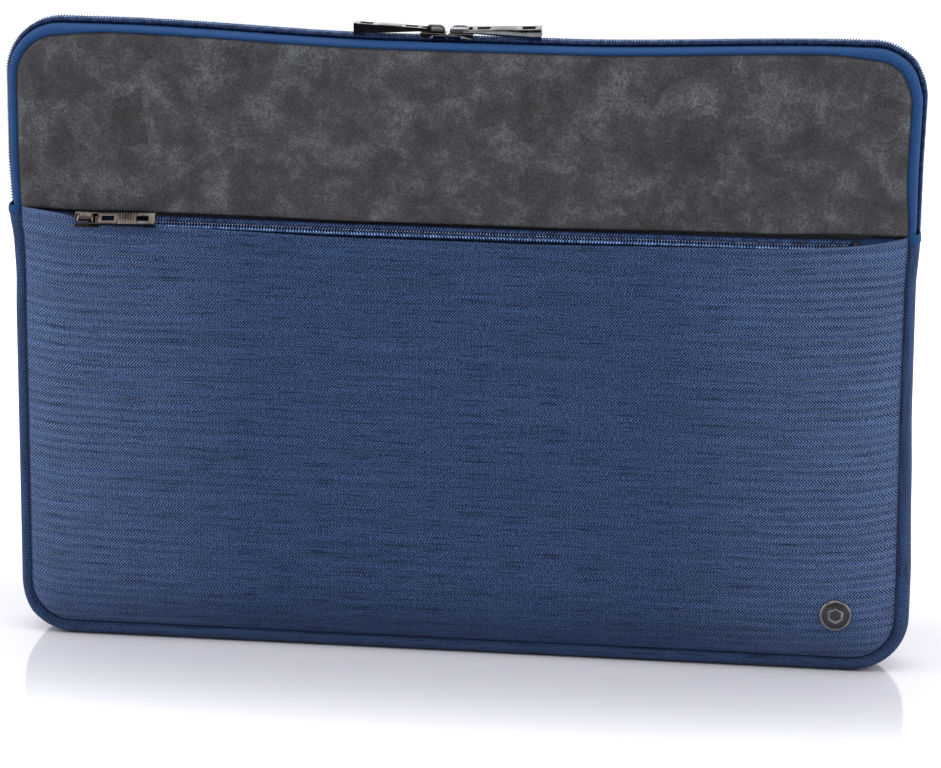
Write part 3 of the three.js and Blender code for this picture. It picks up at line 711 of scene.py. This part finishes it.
def swelling(side, depth_at_crown, waves, seed, curl=CURL):
    def depth(x, z):
        share = crown(x, z)
        rolled = curl * np.exp(-(inboard(x, z) / (1.2 * MM)) ** 2)
        wavy = waves * share * ripple(x, z, 60 * MM, seed)
        return side * (SEAM_DEPTH + depth_at_crown * share - rolled + wavy)
    return depth


grey_depth = swelling(-1, 1.6 * MM, 0.5 * MM, 3.7)
grey_panel = lay_panel("grey_panel", grey_depth, low=HEM_LOW_Z + HEM_RADIUS, hem="bottom")
finish_cloth(grey_panel, OUTER_CLOTH, grey_suede)
belong(grey_panel, "fold", "front_panel_upper", "front_panel_hem")
print("grey panel cut, mm:", cut_mm(grey_panel))

# %% [markdown]
# ## Blue pocket panel
# The pocket is fuller than the grey panel above it, so its mouth stands forward and the zip lies
# in the step between the two. The mouth is level in the middle and climbs at both sides until it
# meets the hem of the grey panel. The rows of the weave run up a little at both sides, where the
# cloth was pulled into the seam.

# %% Blue pocket panel
MOUTH_X = np.array([-194, -186, -175, -170, -165, -154, -134, -105, -70, 20, 60, 100, 140, 157, 169, 178,
                    186, 194]) * MM
MOUTH_RISE = np.array([6.9, 6.7, 6.2, 5.4, 3.2, 1.9, 1.4, 0.8, 0.2, 0, 0.3, 0.6, 0.9, 1.4, 2.2, 3.4,
                       4.8, 6.1]) * MM


def mouth_height(x):
    smooth = sum(np.interp(x + shift, MOUTH_X, MOUTH_RISE) for shift in np.linspace(-4, 4, 9) * MM) / 9
    return POCKET_TOP - HEM_RADIUS + smooth


def pulled_rows(x):
    left = np.clip((-x - 140 * MM) / (54 * MM), 0, 1) ** 2 * 2 * MM
    right = np.clip((x - 135 * MM) / (59 * MM), 0, 1) ** 2 * 3.8 * MM
    return left + right


pocket_depth = swelling(-1, 6.6 * MM, 0.4 * MM, 11.3)
pocket_cloth = lay_panel("pocket_cloth", pocket_depth, high=POCKET_TOP - HEM_RADIUS, hem="top",
                         mouth=mouth_height, drift=pulled_rows)
finish_cloth(pocket_cloth, OUTER_CLOTH, blue_cloth)
belong(pocket_cloth, "sleeve", "pocket_panel")
print("pocket cut, mm:", cut_mm(pocket_cloth))

# %% [markdown]
# ## Strips
# Long narrow pieces are described by a flat section that is carried along a line. One function
# lays such a strip: its caller says where each station of the line puts the section's points.

# %% Strip helper
def lay_strip(name, stations, section, place):
    # place(station index, a, b) gives the points of a section [a, b] carried along a line
    piece, along, across = new_grid(name, len(stations) - 1, len(section) - 1)
    section = np.array(section)
    index = along * (len(stations) - 1)
    step = across * (len(section) - 1)
    set_points(piece, *place(index, between(section[:, 0], step), between(section[:, 1], step)))
    run = np.concatenate([[0], np.cumsum(np.hypot(*np.diff(section, axis=0).T))])
    set_cloth_map(piece, between(stations, index), between(run, step))
    return piece


print("strip helper ready")

# %% [markdown]
# ## Back panel
# The back is one plain piece of the blue cloth with a lower crown. It faces the other way, so its
# grid is laid from right to left, which keeps the front side of every face outside.

# %% Back panel
back_depth = swelling(1, 3 * MM, 0.5 * MM, 23.1)
back_cloth = lay_panel("back_cloth", back_depth, facing=1)
finish_cloth(back_cloth, OUTER_CLOTH, blue_cloth)
belong(back_cloth, "sleeve", "back_panel")
print("back cut, mm:", cut_mm(back_cloth))

# %% [markdown]
# ## Foam and lining
# Behind each outer panel lie a sheet of foam and a lining. They show when the top folds down. The
# lining's edge dips back to the seam, which closes the inside all round. Front foam and front
# lining cross the fold, as the grey panel does.

# %% Foam and lining
def smooth_share(value):
    share = np.clip(value, 0, 1)
    return share ** 2 * (3 - 2 * share)


def lining_depth(side, face, seed):
    def depth(x, z):
        share = smooth_share((inboard(x, z) - 0.6 * MM) / (7 * MM))
        slack = 0.25 * MM * share * ripple(x, z, 45 * MM, seed)
        return side * (face + 2.1 * MM * (1 - share) + slack)
    return depth


def foam_depth(side, face, depth_at_crown):
    return lambda x, z: side * (face + depth_at_crown * crown(x, z))


front_lining = lay_panel("front_lining", lining_depth(-1, 8.3 * MM, 5.2), inset=6.6 * MM, facing=1)
back_lining = lay_panel("back_lining_cloth", lining_depth(1, 9.8 * MM, 8.4), inset=6.6 * MM)
pocket_backing = lay_panel("pocket_backing_cloth", foam_depth(-1, 11.6 * MM, 1.4 * MM),
                           inset=9 * MM, high=193 * MM)
front_foam = lay_panel("front_foam", foam_depth(-1, 10.3 * MM, 1.5 * MM), inset=9.5 * MM)
back_foam = lay_panel("back_foam_sheet", foam_depth(1, 11 * MM, 2.6 * MM), inset=9.5 * MM, facing=1)
for piece in (front_lining, back_lining, pocket_backing):
    finish_cloth(piece, LINING_CLOTH, lining_cloth)
for piece in (front_foam, back_foam):
    finish_cloth(piece, 1.1 * MM, padding)
belong(front_lining, "fold", "front_lining_lower", "front_lining_upper")
belong(front_foam, "fold", "front_foam_lower", "front_foam_upper")
belong(back_lining, "sleeve", "back_lining")
belong(pocket_backing, "sleeve", "pocket_backing")
belong(back_foam, "sleeve", "back_foam")
print("lining cuts, mm:", [cut_mm(piece) for piece in (front_lining, back_lining, pocket_backing)])

# %% [markdown]
# ## The rim as a line
# The gusset, the zip tapes and the coils all run round the rim. The rim is kept as a list of
# stations, each with its place and its outward direction, so that a piece is described by a flat
# section of depth and height, and carried along the line.

# %% The rim line
def rim_line(upper, end_z):
    sign = 1 if upper else -1
    centre = CREST - CORNER if upper else CORNER
    side_z = np.linspace(end_z, centre, max(3, round(abs(centre - end_z) / STEP)))[:-1]
    turn = np.linspace(0, math.pi / 2, 17)
    flat_x = np.linspace(CORNER - HALF, 0, 45)[1:]
    left = np.concatenate([
        np.column_stack([0 * side_z - HALF, side_z, 0 * side_z - 1, 0 * side_z]),
        np.column_stack([
            CORNER - HALF - CORNER * np.cos(turn), centre + sign * CORNER * np.sin(turn),
            -np.cos(turn), sign * np.sin(turn),
        ]),
        np.column_stack([
            flat_x, 0 * flat_x + centre + sign * CORNER, 0 * flat_x, 0 * flat_x + sign,
        ]),
    ])
    right = left[:-1][::-1] * [-1, 1, -1, 1]
    line = np.concatenate([left, right])
    run = np.concatenate([[0], np.cumsum(np.hypot(*np.diff(line[:, :2], axis=0).T))])
    return line, run


def on_rim(line):
    def place(index, depth, out):
        x, z, normal_x, normal_z = (between(column, index) for column in line.T)
        x, z = settle(x + normal_x * out, z + normal_z * out)
        return x, depth, z
    return place


def both_sides(half_section):
    whole = [(y * MM, out * MM) for y, out in half_section]
    return whole + [(-y, out) for y, out in reversed(whole)]


TAB_RAISED = 1.6 * MM
TAB_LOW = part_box("left_zip_end_tab")[0].z + TAB_RAISED
lower_line, lower_run = rim_line(False, TAB_LOW)
upper_line, upper_run = rim_line(True, TAB_LOW + 2 * MM)
print("lower and upper rim, mm:", round(lower_run[-1] / MM), round(upper_run[-1] / MM))

# %% [markdown]
# ## Gusset
# The gusset is the wall round both sides and the bottom. Its edges are turned in beside the
# panels and puff up a little, so each reads as a narrow roll of cloth with a dark seam next to
# it. Between the rolls it is nearly flat, and at the bottom it is what the sleeve stands on.

# %% Gusset and its lining
GUSSET_HALF = [(-9.8, -6.9), (-10.8, -6.6), (-11.7, -5.9), (-12.3, -4.9), (-12.5, -3.8), (-12.25, -2.7),
               (-11.6, -1.7), (-10.7, -0.95), (-9.5, -0.4), (-8, -0.05), (-5, 0), (-1.7, 0)]
GUSSET_LINING_HALF = [(-10.9, -6.3), (-10.6, -4.8), (-9.9, -3.2), (-8.6, -2.1), (-6.5, -1.7), (-3, -1.6)]


def lower_strip(name, half_section, thickness, material):
    section = [(-y, out) for y, out in both_sides(half_section)]
    piece = lay_strip(name, lower_run, section, on_rim(lower_line))
    finish_cloth(piece, thickness, material)
    return piece


gusset = lower_strip("gusset_cloth", GUSSET_HALF, OUTER_CLOTH, gusset_melange)
gusset_lining = lower_strip("gusset_lining_cloth", GUSSET_LINING_HALF, LINING_CLOTH, lining_cloth)
belong(gusset, "sleeve", "gusset_strip")
belong(gusset_lining, "sleeve", "gusset_lining")
print("gusset cut, mm:", cut_mm(gusset))

# %% [markdown]
# ## Tabs at the ends of the main zip
# The zip's tape dives under the gusset at the fold, and a small folded tab covers its end. From
# the front each tab is a small bump on the outline.

# %% Zip end tabs
def end_tab(name, node, side):
    heights = np.linspace(TAB_LOW - 0.9 * MM, TAB_LOW + 3.9 * MM, 13)
    line = np.column_stack([0 * heights + side * HALF, heights, 0 * heights + side, 0 * heights])
    flat_place = on_rim(line)

    def place(index, depth, out):
        swell = np.sqrt(np.sin(np.clip(index / (len(heights) - 1), 0, 1) * math.pi))
        grow = 0.75 * MM * swell - 0.35 * MM
        return flat_place(index, depth * (1 + grow / (12 * MM)), out + grow)

    section = [(-side * y, out) for y, out in both_sides(GUSSET_HALF[1:])]
    piece = lay_strip(name, heights, section, place)
    finish_cloth(piece, 0.7 * MM, tape_twill)
    belong(piece, "sleeve", node)


end_tab("left_zip_end_fold", "left_zip_end_tab", -1)
end_tab("right_zip_end_fold", "right_zip_end_tab", 1)
print("zip end tabs made")

# %% [markdown]
# ## Main zip tapes
# Two tapes run round the top. Each starts under its coil, rises a little over the foam's edge and
# rolls down into the seam, so from the front it is a soft blue band. The front tape is laid across
# the fold, as the grey panel is.

# %% Main zip tapes
TAPE_HALF = [(-9.6, -7), (-10.7, -6.7), (-11.5, -6.1), (-11.9, -5.3), (-11.7, -4.4), (-10.9, -3.5),
             (-9.6, -2.85), (-8, -2.5), (-6.2, -2.35), (-4.6, -2.4), (-3.4, -2.6), (-2, -2.75), (-0.5, -2.8)]


def main_tape(name, side):
    section = [(y * MM, out * MM) for y, out in TAPE_HALF]
    if side > 0:
        section = [(-y, out) for y, out in reversed(section)]
    piece = lay_strip(name, upper_run, section, on_rim(upper_line))
    finish_cloth(piece, 0.5 * MM, tape_twill)
    return piece


front_tape = main_tape("front_zip_tape_cloth", -1)
rear_tape = main_tape("rear_zip_tape_cloth", 1)
belong(front_tape, "fold", "front_zip_tape")
belong(rear_tape, "sleeve", "rear_zip_tape")
print("main tape cut, mm:", cut_mm(front_tape))

# %% [markdown]
# ## Coils
# A coil zip is one nylon thread wound into a flattened spring, with the two springs laid against
# each other half a turn apart. Every turn leans, and the two sides lean towards each other, which
# gives the small arrow pattern. A curve with a round section is the natural way to draw a spring.
# Each turn has nine points and six sides, which is few enough to repeat hundreds of times.

# %% Coils
POINTS_PER_TURN = 9
MAIN_PITCH = 1.27 * MM
MAIN_COIL_Y, MAIN_COIL_OUT = 1.62 * MM, -1.12 * MM


def wind_coil(name, place, length, pitch, width, height, wire, lean, start=0.0):
    turns = round(length / pitch)
    count = turns * POINTS_PER_TURN + 1
    angle = np.linspace(0, 2 * math.pi * turns, count) + start * 2 * math.pi
    along = np.linspace(0.002 * length, 0.998 * length, count) + lean * np.cos(angle)
    x, y, z = place(along, width / 2 * np.cos(angle), height / 2 * np.sin(angle))
    curve = bpy.data.curves.new(name, "CURVE")
    curve.dimensions = "3D"
    line = curve.splines.new("POLY")
    line.points.add(count - 1)
    line.points.foreach_set("co", np.column_stack([x, y, z, 0 * x + 1]).ravel())
    curve.bevel_depth, curve.bevel_resolution, curve.use_fill_caps = wire / 2, 1, True
    piece = bpy.data.objects.new(name, curve)
    bpy.context.collection.objects.link(piece)
    select_only(piece)
    bpy.ops.object.convert(target="MESH")
    bpy.ops.object.shade_smooth()
    dress(piece, nylon)
    return piece


def main_coil_place(side):
    place = on_rim(upper_line)

    def at(along, across, rise):
        index = np.interp(along, upper_run, np.arange(len(upper_run)))
        return place(index, side * (MAIN_COIL_Y - across), rise + MAIN_COIL_OUT)
    return at


for side, name, body, phase in ((-1, "front", "fold", 0.0), (1, "rear", "sleeve", 0.5)):
    coil = wind_coil(f"{name}_zip_coil_wire", main_coil_place(side), upper_run[-1], MAIN_PITCH,
                     2.3 * MM, 1.75 * MM, 0.72 * MM, -0.42 * MM, start=phase)
    belong(coil, body, f"{name}_zip_coil")
print("triangles in one main coil:", 2 * len(coil.data.polygons))

# %% [markdown]
# ## Filler cords
# A coil is wound round a thin cord, which keeps its turns in step and fills the light between
# them. Each cord is a small oval section carried along the rim inside its coil, then merged into
# a tube and closed at both ends.

# %% Filler cords
CORD_Y, CORD_OUT = 1.62, -1.5
CORD_HALF_DEPTH, CORD_HALF_HEIGHT = 0.8, 0.9


def filler_cord(name, side):
    section = [
        (side * (CORD_Y + CORD_HALF_DEPTH * math.cos(a)) * MM,
         (CORD_HALF_HEIGHT * math.sin(a) + CORD_OUT) * MM)
        for a in np.linspace(0, 2 * math.pi, 9)
    ]
    piece = lay_strip(name, upper_run, section, on_rim(upper_line))
    select_only(piece)
    bpy.ops.object.mode_set(mode="EDIT")
    bpy.ops.mesh.select_all(action="SELECT")
    bpy.ops.mesh.remove_doubles(threshold=0.01 * MM)
    bpy.ops.mesh.fill_holes(sides=0)
    bpy.ops.mesh.select_all(action="SELECT")
    bpy.ops.mesh.normals_make_consistent(inside=False)
    bpy.ops.object.mode_set(mode="OBJECT")
    bpy.ops.object.shade_smooth_by_angle(angle=math.radians(50))
    dress(piece, dark_thread)
    return piece


belong(filler_cord("front_zip_filler_cord", -1), "fold")
belong(filler_cord("rear_zip_filler_cord", 1), "sleeve")
print("filler cords inside the main coils")

# %% [markdown]
# ## Pocket zip
# The pocket's chain lies in the step between the two panels and leans back, so it faces forward
# and a little up. It has its own tapes. Past the ends of the chain they run on alone and climb to
# the seams, where the pocket's mouth closes.

# %% Pocket zip tapes and coils
LEAN = math.radians(31.75)
CHAIN_Y, CHAIN_Z, CHAIN_HALF = -14.8 * MM, 191.8 * MM, 168 * MM
TAIL_START, TAIL_END = 171.5 * MM, 185.5 * MM
CHAIN_SHARE = 0.45


def chain_lift(x):
    # the chain follows the lifted waist, but less than the cloth does, so a slider stays on it
    return CHAIN_SHARE * waist_lift(x, 190 * MM)


def on_pocket_zip(x, down, out):
    tail = np.clip((np.abs(x) - CHAIN_HALF - 1.5 * MM) / (TAIL_END - CHAIN_HALF), 0, 1)
    y = CHAIN_Y + 2.7 * MM * tail ** 1.4 - math.sin(LEAN) * down - math.cos(LEAN) * out
    z = CHAIN_Z + chain_lift(x) + 2.9 * MM * tail
    return x, y, z - math.cos(LEAN) * down * (1 - 0.3 * tail) + math.sin(LEAN) * out


def pocket_tape(name, section, from_x, to_x, material, *nodes):
    stations = np.linspace(from_x, to_x, max(9, round((to_x - from_x) / (3 * MM))))

    def place(index, down, out):
        return on_pocket_zip(between(stations, index), down, out)

    piece = lay_strip(name, stations, [(a * MM, b * MM) for a, b in section], place)
    finish_cloth(piece, 0.4 * MM, material)
    belong(piece, "sleeve", *nodes)


UPPER_TAPE = [(-0.2, 0), (-1.5, 0), (-2.6, 0), (-3.5, -0.3), (-4.2, -1.2), (-5, -2.6)]
LOWER_TAPE = [(6, -0.9), (4.6, -0.1), (3, 0), (1.5, 0), (0.2, 0)]
for name, section in (("upper", UPPER_TAPE), ("lower", LOWER_TAPE)):
    pocket_tape(f"pocket_{name}_tape_cloth", section, -TAIL_START, TAIL_START, painted_shade_twill,
                f"pocket_zip_{name}_tape")
TAIL = [(3, -1), (2.4, -0.3), (1.5, 0), (0, 0), (-1.5, 0), (-2.6, 0), (-3.5, -0.3), (-4.2, -1.2)]
pocket_tape("pocket_left_tail", TAIL, -TAIL_END, -TAIL_START + 1 * MM, painted_shade_tail_cloth)
pocket_tape("pocket_right_tail", TAIL, TAIL_START - 1 * MM, TAIL_END, painted_shade_tail_cloth)
print("pocket tapes made")

# %% [markdown]
# ## Pocket coils
# The pocket's two coils lie on the leaning tapes, a little smaller than the main ones, and are
# wound by the same function.

# %% Pocket coils
POCKET_PITCH = 1.27 * MM
POCKET_COIL_DOWN, POCKET_COIL_OUT = 1.3 * MM, 1.05 * MM


def pocket_coil_place(side):
    def at(along, across, rise):
        x = along - CHAIN_HALF
        down, out = side * (POCKET_COIL_DOWN - across), POCKET_COIL_OUT + rise
        y = CHAIN_Y - math.sin(LEAN) * down - math.cos(LEAN) * out
        z = CHAIN_Z - math.cos(LEAN) * down + math.sin(LEAN) * out
        return x, y, z + chain_lift(x)
    return at


for side, name, phase in ((-1, "upper", 0.0), (1, "lower", 0.5)):
    coil = wind_coil(f"pocket_{name}_coil_wire", pocket_coil_place(side), 2 * CHAIN_HALF, POCKET_PITCH,
                     2.15 * MM, 1.35 * MM, 0.66 * MM, -0.35 * MM, start=phase)
    belong(coil, "sleeve", f"pocket_zip_{name}_coil")
print("pocket coils made")

# %% [markdown]
# ## Sewing thread
# Each coil is sewn to its tape, and a stitch crosses every turn. The stitches are what catches the
# light along a zip, so they are given light tones that also stand for its glints: real thread with
# painted highlights, blue on the lower pocket coil. The pale row where the two pocket coils meet is
# painted highlight only, standing for the glints of the meshed teeth. The grey panel also has a
# line of tiny dark pricks close to both side seams. One small bead is made, and all the stitches of
# a row are copies of it.

# %% Stitches
# painted highlight: pale beads for the glints where the two pocket coils meet
painted_glint_thread = monofilament("painted_glints_where_coils_meet", "#7f8896", "#c5cad2", 0.55)


def bead_row(name, centres, size_mm, material, body):
    bpy.ops.mesh.primitive_ico_sphere_add(subdivisions=2, radius=0.5)
    piece = bpy.context.object
    piece.name = name
    bead = np.array([corner.co for corner in piece.data.vertices]) * (np.array(size_mm) * MM)
    faces = np.array([list(face.vertices) for face in piece.data.polygons])
    points = (np.column_stack(centres)[:, None, :] + bead[None]).reshape(-1, 3)
    steps = len(bead) * np.arange(len(centres[0]))[:, None, None]
    mesh = bpy.data.meshes.new(name)
    mesh.from_pydata(points.tolist(), [], (faces[None] + steps).reshape(-1, 3).tolist())
    piece.data = mesh
    select_only(piece)
    bpy.ops.object.shade_smooth()
    dress(piece, material)
    belong(piece, body)


pocket_turns = (np.arange(262) + 0.5) * POCKET_PITCH + 1.6 * MM
# blue stitches: real thread whose light tone also paints the glints of the coil turns
blue_stitches = pocket_coil_place(1)(pocket_turns, -0.45 * MM + 0 * pocket_turns, 0.72 * MM)
# painted highlight: pale beads on the line where the two pocket coils meet stand for the glints of the meshed
# teeth
painted_glint_beads = pocket_coil_place(1)(pocket_turns, 1.3 * MM + 0 * pocket_turns, 0.62 * MM)
bead_row("pocket_blue_stitches", blue_stitches, (0.62, 0.5, 0.95), thread, "sleeve")
bead_row("pocket_pale_stitches", painted_glint_beads, (0.42, 0.36, 0.42), painted_glint_thread, "sleeve")

main_turns = (np.arange(round(upper_run[-1] / MAIN_PITCH) - 4) + 2.3) * MAIN_PITCH
for side, name, body in ((-1, "front", "fold"), (1, "rear", "sleeve")):
    # real thread, in a light tone that also paints the glints on the coil turns
    centres = main_coil_place(side)(main_turns, -0.5 * MM + 0 * main_turns, 1.2 * MM)
    bead_row(f"{name}_zip_stitches", centres, (0.6, 1.1, 0.62), thread, body)

prick_z = np.arange(204, 262, 3.1) * MM
for side, name in ((-1, "left"), (1, "right")):
    x = side * (half_width_at(prick_z, SEAM) - 4.2 * MM)
    place_x, place_z = settle(x, prick_z)
    centres = (place_x, grey_depth(x, prick_z) - 0.02 * MM, place_z)
    bead_row(f"{name}_seam_stitches", centres, (0.32, 0.26, 0.55), dark_thread, "fold")
print("stitch pieces made")

# %% [markdown]
# ## Polished castings
# The frame's metal solids have the right shape but knife-sharp edges, and a polished casting
# never has those. A copy of each is merged, flat triangles are joined into whole faces, and every
# edge gets a small rounding that can catch the light. The stops of the pocket zip are lacquered
# black instead.

# %% Polished castings
def cast_in_metal(node, name, body, rounding, material=black_nickel, roll=0.0, dip=0.0, hinge=0.0):
    # a loose pull lies rolled a few degrees about its length, with its far end dipped to the coil
    piece = bpy.data.objects.new(name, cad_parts[node].data.copy())
    piece.data.name = name
    bpy.context.collection.objects.link(piece)
    select_only(piece)
    bpy.ops.object.mode_set(mode="EDIT")
    bpy.ops.mesh.select_all(action="SELECT")
    bpy.ops.mesh.remove_doubles(threshold=0.01 * MM)
    bpy.ops.mesh.dissolve_limited(angle_limit=math.radians(1))
    bpy.ops.object.mode_set(mode="OBJECT")
    apply_modifier(piece, "BEVEL", width=rounding, segments=3, limit_method="ANGLE",
                   angle_limit=math.radians(32), use_clamp_overlap=True)
    select_only(piece)
    bpy.ops.object.shade_smooth_by_angle(angle=math.radians(38))
    low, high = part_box(node)
    inner_end = (low + high) / 2 + Vector((hinge * (high.x - low.x) / 2, 0, 0))
    for pivot, angle, axis in (((low + high) / 2, roll, "X"), (inner_end, dip, "Y")):
        there = Matrix.Translation(pivot)
        piece.data.transform(there @ Matrix.Rotation(math.radians(angle), 4, axis) @ there.inverted())
    dress(piece, material)
    belong(piece, body, node)


# for each zip: its plate, the pull's roll and dip in degrees, and the end it hangs by
PULLS = {
    "left": (black_nickel, 0, -1.5, 1),
    "right": (black_nickel, 7, 1.5, -1),
    "pocket": (darker_browner_nickel, -9, 0, -1),
}
for zip_name, (metal, roll, dip, hinge) in PULLS.items():
    cast_in_metal(f"{zip_name}_slider_body", f"{zip_name}_slider_casting", f"{zip_name}_slider",
                  0.18 * MM, metal)
    cast_in_metal(f"{zip_name}_slider_pull", f"{zip_name}_pull_casting", f"{zip_name}_pull",
                  0.16 * MM, metal, roll, dip, hinge)
for stop in ("left", "right"):
    cast_in_metal(f"pocket_zip_{stop}_stop", f"pocket_{stop}_stop_crimp", "sleeve", 0.3 * MM, lacquer)
for node, name in (
    ("badge_rim", "badge_ring"), ("badge_emblem", "badge_hexagon"), ("badge_washer", "badge_back"),
):
    cast_in_metal(node, name, "sleeve", 0.12 * MM)
print("castings made")

# %% [markdown]
# ## Slider caps
# The arched cap on top of each slider is modelled: a block, two long edges bevelled into
# an arch, and both flat sides sunk a little and left matt from the mould. It is made once along
# the right-hand slider and turned or mirrored into place for the others.

# %% Slider caps
moulded = plated_metal("sandblasted_black_nickel", "#5a5a5c", "#747476")
moulded.node_tree.nodes["Principled BSDF"].inputs["Metallic"].default_value = 0.7
CAP_LOW, CAP_HIGH = 1.5 * MM, 4.55 * MM


def model_cap(name, metal):
    bpy.ops.mesh.primitive_cube_add(size=1, location=(5.35 * MM, 0, (CAP_LOW + CAP_HIGH) / 2))
    cap = bpy.context.object
    cap.name = cap.data.name = name
    cap.scale = (8.5 * MM, 3.5 * MM, CAP_HIGH - CAP_LOW)
    bpy.ops.object.transform_apply(location=True, scale=True)
    mesh = cap.data
    mesh.materials.append(metal)
    mesh.materials.append(moulded)
    bpy.ops.object.mode_set(mode="EDIT")
    bpy.ops.mesh.select_all(action="DESELECT")
    bpy.ops.object.mode_set(mode="OBJECT")
    for edge in mesh.edges:
        ends = [mesh.vertices[v].co for v in edge.vertices]
        edge.select = all(end.z > CAP_HIGH - 1e-6 for end in ends) and abs(ends[0].x - ends[1].x) < 1e-6
    bpy.ops.object.mode_set(mode="EDIT")
    bpy.ops.mesh.select_mode(type="EDGE")
    bpy.ops.mesh.bevel(offset=2.4 * MM, segments=8, affect="EDGES")
    bpy.ops.mesh.select_all(action="DESELECT")
    bpy.ops.mesh.select_mode(type="FACE")
    bpy.ops.object.mode_set(mode="OBJECT")
    for face in mesh.polygons:
        face.select = abs(face.normal.y) > 0.9
    bpy.ops.object.mode_set(mode="EDIT")
    bpy.ops.mesh.inset(thickness=0.62 * MM, depth=0, use_individual=True)
    bpy.context.object.active_material_index = 1
    bpy.ops.object.material_slot_assign()
    bpy.ops.mesh.inset(thickness=0.05 * MM, depth=-0.3 * MM, use_individual=True)
    bpy.ops.object.mode_set(mode="OBJECT")
    apply_modifier(
        cap, "BEVEL", width=0.16 * MM, segments=2, limit_method="ANGLE", angle_limit=math.radians(40),
    )
    select_only(cap)
    bpy.ops.object.shade_smooth_by_angle(angle=math.radians(40))
    return cap


def put_cap(zip_name, turn, mirrored, metal=black_nickel):
    cap = model_cap(f"{zip_name}_slider_arch", metal)
    if mirrored:
        cap.data.transform(Matrix.Diagonal((-1, 1, 1, 1)))
        cap.data.flip_normals()
    cap.data.transform(turn)
    belong(cap, f"{zip_name}_slider", f"{zip_name}_slider_cap")


main_place = Matrix.Translation((LOW_X, 0, CREST))
TOP_SLOPE = math.atan(0.021)
pocket_place = Matrix.Translation((
    -CHAIN_HALF, CHAIN_Y - math.cos(LEAN) * 1.9 * MM, CHAIN_Z + math.sin(LEAN) * 1.9 * MM,
)) @ Matrix.Rotation(math.pi / 2 - LEAN, 4, "X")
put_cap("right", main_place @ Matrix.Rotation(-TOP_SLOPE, 4, "Y"), False)
put_cap("left", main_place @ Matrix.Rotation(TOP_SLOPE, 4, "Y"), True)
put_cap("pocket", pocket_place, False, darker_browner_nickel)
print("slider caps placed")

# %% [markdown]
# ## Badge floor
# Inside its metal ring the badge is filled with dark enamel, which the plain hexagon stands in.
# The enamel is a thin disc with a rounded edge, so it has a bright rim of its own.

# %% Badge floor
enamel, enamel_tree, enamel_shader = new_material("dark_stoving_enamel", 0.3)
flecks = add_node(enamel_tree, "TexNoise", {
    "Vector": add_node(enamel_tree, "TexCoord").outputs["Object"], "Scale": 900, "Detail": 3,
})
enamel_ramp = add_node(enamel_tree, "ValToRGB", {0: flecks}, ((0, "#080a0e"), (1, "#14171c")))
enamel_tree.links.new(enamel_ramp.outputs[0], enamel_shader.inputs["Base Color"])

badge_low, badge_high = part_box("badge_rim")
badge_middle = (badge_low + badge_high) / 2
bpy.ops.mesh.primitive_cylinder_add(
    vertices=40, radius=5.85 * MM, depth=0.34 * MM, rotation=(math.pi / 2, 0, 0),
    location=(badge_middle.x, badge_low.y + 0.5 * MM + 0.06 * MM, badge_middle.z),
)
badge_floor = bpy.context.object
badge_floor.name = "badge_enamel"
bpy.ops.object.transform_apply(location=True, rotation=True)
apply_modifier(badge_floor, "BEVEL", width=0.1 * MM, segments=2, limit_method="ANGLE")
bpy.ops.object.shade_smooth_by_angle(angle=math.radians(40))
badge_floor.data.materials.append(enamel)
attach(badge_floor, "sleeve")
print("badge floor at depth, mm:", round(badge_middle.y / MM, 2))
